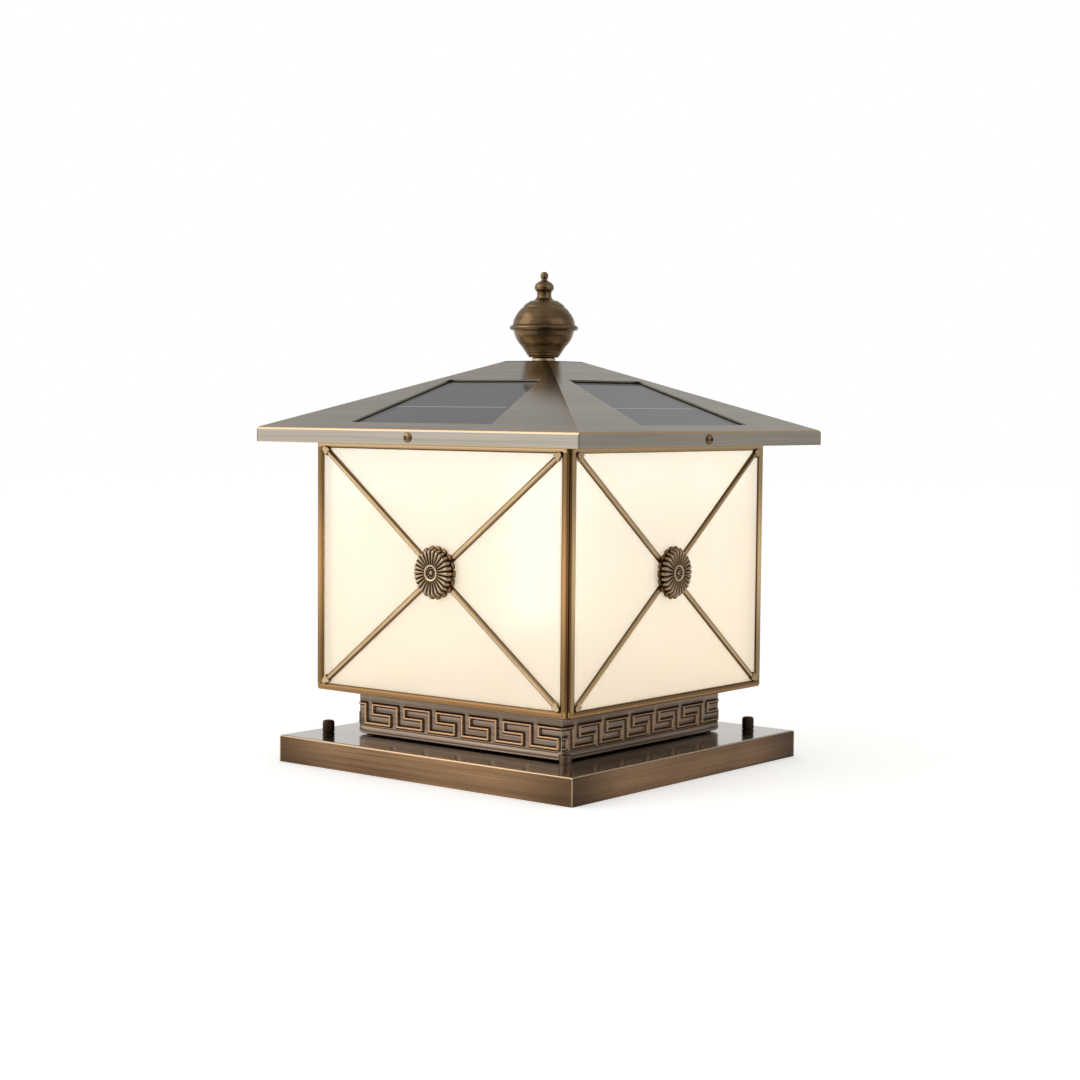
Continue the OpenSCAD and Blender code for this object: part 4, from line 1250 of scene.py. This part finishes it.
    def stand_up(self, piece, back, middle, material, node, slot):
        """Turns the flower to face forward on the front side, and repeats it on the four sides."""
        stand = Matrix.Translation((0, -back, middle)) @ Matrix.Rotation(math.pi / 2, 4, "X")
        piece.data.transform(stand)
        turned_copies(piece, len(SIDES), material)
        stand_in(piece, node)

    def finish(self, name, tones):
        """Painted shade in the hollows and on the flanks, and painted highlight on the crowns."""
        finish = Finish(name, Metallic=1.0)
        nodes = finish.nodes
        worn = nodes.attribute("worn")
        grain = nodes.noise(900.0, 3.0)
        # Painted highlight on the crowns and painted shade in the hollows.
        tone = nodes.colours(worn + (grain - 0.5) * 0.3, *zip((0.08, 0.5, 0.9), tones))
        finish.set(Base_Color=tone, Roughness=0.3 + grain * 0.12, Normal=nodes.bump(grain, 0.3, 0.05 * MM))
        return finish


def joined(piece, others):
    """The piece with the others' meshes joined in."""
    with bpy.context.temp_override(active_object=piece, selected_editable_objects=[piece] + others):
        bpy.ops.object.join()
    return piece


# Roof


class PILLARLIGHT_OT_roof(PillarOperator, bpy.types.Operator):
    """Finishes the roof sheet, its floor, the guides and the fascia screws"""

    bl_idname = "pillarlight.roof"
    bl_label = "Roof"

    # Heights on the roof sheet: the fascia's lip, bend and top, the slopes' start and the crown's edge
    LIP = 238.2 * MM
    BEND = 248.4 * MM
    FASCIA_HIGH = 247.6 * MM
    SLOPE_LOW = 249 * MM
    CROWN = 298.0 * MM

    def build(self, scene):
        colours = scene.pillar_finishes
        paint(["roof_cover"], self.sheet_finish(colours).material)
        under = brushed_metal("roof_floor_sheet", "7A7468", "A09888", 0.35, axis=1)
        paint(["roof_floor", "roof_guides"], under.material)
        screws = brushed_metal("screw_bronze", "4A3826", "B89A72", 0.3)
        paint(["fascia_screws"], screws.material)

    def sheet_finish(self, colours):
        """Satin sheet, brushed along the eave, with a painted highlight along the hips, the fascia's bend and
        its lip, and darker lines down the fascia's corners and round the crown's edge.
        """
        finish = Finish("roof_sheet", Metallic=1.0)
        nodes = finish.nodes
        x, y, z = nodes.axes()
        streak = brush_lines(nodes, 2)
        cloud = nodes.noise(10.0, 3.0)
        tone = streak.ramp(0.38, 0.62) * 0.5 + cloud * 0.5
        base = nodes.mix(tone, tuple(colours.roof_dark), tuple(colours.roof_light))
        across = abs(abs(x) - abs(y))
        hip = (1 - across.ramp(0.25 * MM, 0.7 * MM)) * (z > self.SLOPE_LOW)
        # Painted highlight along the hips, the fascia's bend and its lip.
        worn = hip * 0.8 + z.near(self.BEND, 1.3 * MM) * 0.85 + z.near(self.LIP, 0.7 * MM) * 0.9
        corner = (1 - across.ramp(0.5 * MM, 1.3 * MM)) * (z < self.FASCIA_HIGH)
        crown = z.ramp(self.CROWN, self.CROWN + 0.4 * MM) * (nodes.facing()[2] < 0.97)
        highlighted = nodes.mix(worn.smaller(1.0), base, "CDA878")
        finish.set(
            Base_Color=nodes.mix(corner * 0.55 + crown * 0.8, highlighted, "3A342C"),
            Roughness=0.17 + (streak - 0.5) * 0.12,
            Normal=nodes.bump(streak, 0.25),
        )
        return finish


class PILLARLIGHT_OT_solar(PillarOperator, bpy.types.Operator):
    """Finishes the solar panels: cells with fine contact lines under clear glass"""

    bl_idname = "pillarlight.solar"
    bl_label = "Solar panels"

    # Spacing of the fine contact lines, and the wide one's distance from the light's middle and half length
    FINGER_PITCH = 2.6 * MM
    BUS_OUT = 104.0 * MM
    BUS_HALF = 51 * MM

    def build(self, scene):
        paint(["solar_" + name for name in SIDES], self.finish().material)

    def finish(self):
        finish = Finish("solar_cells", Roughness=0.4, Coat_Weight=0.9, Coat_Roughness=0.03)
        finish.set(Specular_IOR_Level=0.3)
        nodes = finish.nodes
        x, y, _ = nodes.axes()
        out, aside = abs(x).larger(abs(y)), abs(x).smaller(abs(y))
        fingers = abs((aside / self.FINGER_PITCH).fraction() - 0.5) > 0.44
        bus = (abs(out - self.BUS_OUT) < 0.45 * MM) * (aside < self.BUS_HALF)
        cloud = nodes.noise(25.0, 4.0)
        cell = nodes.mix(cloud, "2A2D30", "3A3E42")
        ruled = nodes.mix(fingers * 0.10, cell, "7A7E82")
        finish.set(Base_Color=nodes.mix(bus, ruled, "9CA0A4"))
        return finish


# Finial


class PILLARLIGHT_OT_finial(PillarOperator, bpy.types.Operator):
    """Makes the turned finial: washer, bowl with its seam, stepped dome and knob"""

    bl_idname = "pillarlight.finial"
    bl_label = "Finial"

    # Outlines as (radius, height over the piece's foot, rounding) in millimetres
    BOWL = [
        (3.4, -0.6, 0), (10.9, -0.6, 0), (11.2, -0.1, 0.3), (11.9, 0.9, 0.4), (12.5, 1.1, 0.1),
        (12.6, 1.7, 0.1), (13.2, 2.8, 0.4), (13.7, 3.0, 0.1), (13.8, 3.6, 0.1), (14.5, 4.6, 0.4),
        (14.9, 5.2, 0.2), (16.4, 7.5, 1.5), (18.6, 9.9, 2.0), (20.4, 12.6, 2.5), (21.8, 15.6, 2.5),
        (22.6, 18.6, 2.0), (22.9, 19.2, 0.3), (24.4, 19.5, 0.5), (25.8, 20.7, 0.9), (25.8, 21.8, 0.9),
        (24.6, 23.0, 0.6), (22.4, 23.4, 0.2), (3.4, 23.4, 0),
    ]
    DOME = [
        (3.4, -0.8, 0), (23.5, -0.8, 0.1), (23.4, -0.2, 0.2), (22.9, 2.4, 2.0), (21.6, 5.2, 2.5),
        (19.8, 8.2, 2.5), (17.3, 11.2, 2.0), (15.4, 12.5, 0.3), (15.5, 13.1, 0.3), (14.4, 14.2, 0.8),
        (13.0, 15.4, 1.0), (11.3, 16.3, 0.3), (11.2, 16.8, 0.3), (9.8, 17.1, 0.3), (7.8, 17.6, 0.8),
        (6.0, 19.0, 1.0), (5.4, 20.4, 0.8), (5.3, 22.2, 0.4), (5.6, 22.9, 0.3), (5.6, 23.5, 0.1),
        (3.4, 23.5, 0),
    ]
    KNOB = [
        (0, -1.3, 0), (5.2, -1.3, 0.1), (5.5, -0.9, 0.2), (6.1, -0.4, 0.3), (7.0, 0.7, 0.8),
        (7.3, 2.1, 1.2), (7.0, 4.0, 1.4), (5.3, 5.9, 1.4), (3.0, 7.1, 0.6), (2.4, 7.6, 0.3),
        (2.1, 8.4, 0.3), (2.8, 9.6, 0.6), (3.05, 11.1, 1.0), (2.5, 12.8, 0.9), (1.4, 13.7, 0.5),
        (0, 14.0, 0),
    ]
    WASHER = [(3.4, 0, 0), (8.7, 0, 0.2), (8.8, 1.9, 0.4), (8.2, 2.7, 0.4), (3.4, 2.7, 0)]

    def build(self, scene):
        bronze = self.finish().material
        pale = brushed_metal("washer_bronze", "A89878", "D8CAAC", 0.3).material
        seam = node_high("finial_bowl").z
        self.body("finial_lower_bowl", self.BOWL, node_low("finial_bowl").z, bronze, "finial_bowl")
        self.body("finial_upper_dome", self.DOME, seam, bronze, "finial_dome")
        top = node_low("finial_knob").z
        self.body("finial_top_knob", self.KNOB, top, bronze, "finial_knob", "finial_knob")
        self.body("finial_neck_washer", self.WASHER, node_low("finial_washer").z, pale, "finial_washer")

    def body(self, name, corners, base, material, node, body="roof"):
        """One turned body of the finial, with its foot at the given height."""
        outline = rounded_outline([(r * MM, base + h * MM, b * MM) for r, h, b in corners], 5)
        piece = turned(name, outline, material, 128)
        stand_in(piece, node, body)

    def finish(self):
        """Turned bronze with fine rings from the lathe."""
        finish = Finish("turned_bronze", Metallic=1.0)
        nodes = finish.nodes
        rings = nodes.noise((12.0, 12.0, 3200.0), 2.0)
        cloud = nodes.noise(30.0, 2.0)
        tone = rings.ramp(0.3, 0.7) * 0.3 + cloud.ramp(0.3, 0.7) * 0.5
        finish.set(
            Base_Color=nodes.mix(tone, "50402A", "A88A66"),
            Roughness=0.21 + (rings - 0.5) * 0.08,
            Normal=nodes.bump(rings, 0.12),
        )
        return finish


# Inside


class PILLARLIGHT_OT_inside(PillarOperator, bpy.types.Operator):
    """Finishes the battery, controller, wiring and switch"""

    bl_idname = "pillarlight.inside"
    bl_label = "Inside"

    def build(self, scene):
        plain = {
            "black_plastic": (("141414", "242424"), 0.5, ["battery_holder", "switch_body"]),
            "cell_wrap": (("2E5C94", "4A7CB4"), 0.3, ["battery_cells"]),
            "circuit_board": (("1E5A2E", "2E7A40"), 0.4, ["charge_controller"]),
            "red_plastic": (("7A1A1A", "A02A2A"), 0.35, ["wiring", "switch_button"]),
        }
        for name, ((dark, light), rough, nodes) in plain.items():
            finish = Finish(name, Roughness=rough)
            grain = finish.nodes.noise(400.0, 3.0)
            finish.set(Base_Color=finish.nodes.mix(grain, dark, light))
            paint(nodes, finish.material)


class PILLARLIGHT_PT_panel(bpy.types.Panel):
    """Lists the steps that build the light"""

    bl_label = "Pillar light"
    bl_idname = "PILLARLIGHT_PT_panel"
    bl_space_type = "VIEW_3D"
    bl_region_type = "UI"
    bl_category = "Pillar light"

    def draw(self, context):
        for group in (context.scene.pillar_finishes, context.scene.pillar_sizes, context.scene.pillar_stage):
            box = self.layout.box()
            for name in group.bl_rna.properties.keys():
                if name not in ("rna_type", "name"):
                    box.prop(group, name)
        for operator in OPERATORS:
            self.layout.operator(operator.bl_idname)


GROUPS = {"pillar_finishes": PillarFinishes, "pillar_sizes": PillarSizes, "pillar_stage": PillarStage}
OPERATORS = (
    PILLARLIGHT_OT_stage,
    PILLARLIGHT_OT_base,
    PILLARLIGHT_OT_neck,
    PILLARLIGHT_OT_cage,
    PILLARLIGHT_OT_glass,
    PILLARLIGHT_OT_crosses,
    PILLARLIGHT_OT_rosettes,
    PILLARLIGHT_OT_roof,
    PILLARLIGHT_OT_solar,
    PILLARLIGHT_OT_finial,
    PILLARLIGHT_OT_inside,
)


def register():
    for cls in tuple(GROUPS.values()) + OPERATORS + (PILLARLIGHT_PT_panel,):
        bpy.utils.register_class(cls)
    for name, group in GROUPS.items():
        setattr(bpy.types.Scene, name, PointerProperty(type=group))


def unregister():
    for name in GROUPS:
        delattr(bpy.types.Scene, name)
    for cls in reversed(tuple(GROUPS.values()) + OPERATORS + (PILLARLIGHT_PT_panel,)):
        bpy.utils.unregister_class(cls)


def main():
    register()
    bpy.ops.pillarlight.stage()
    bpy.ops.pillarlight.base()
    bpy.ops.pillarlight.neck()
    bpy.ops.pillarlight.cage()
    bpy.ops.pillarlight.glass()
    bpy.ops.pillarlight.crosses()
    bpy.ops.pillarlight.rosettes()
    bpy.ops.pillarlight.roof()
    bpy.ops.pillarlight.solar()
    bpy.ops.pillarlight.finial()
    bpy.ops.pillarlight.inside()


if __name__ == "__main__":
    main()
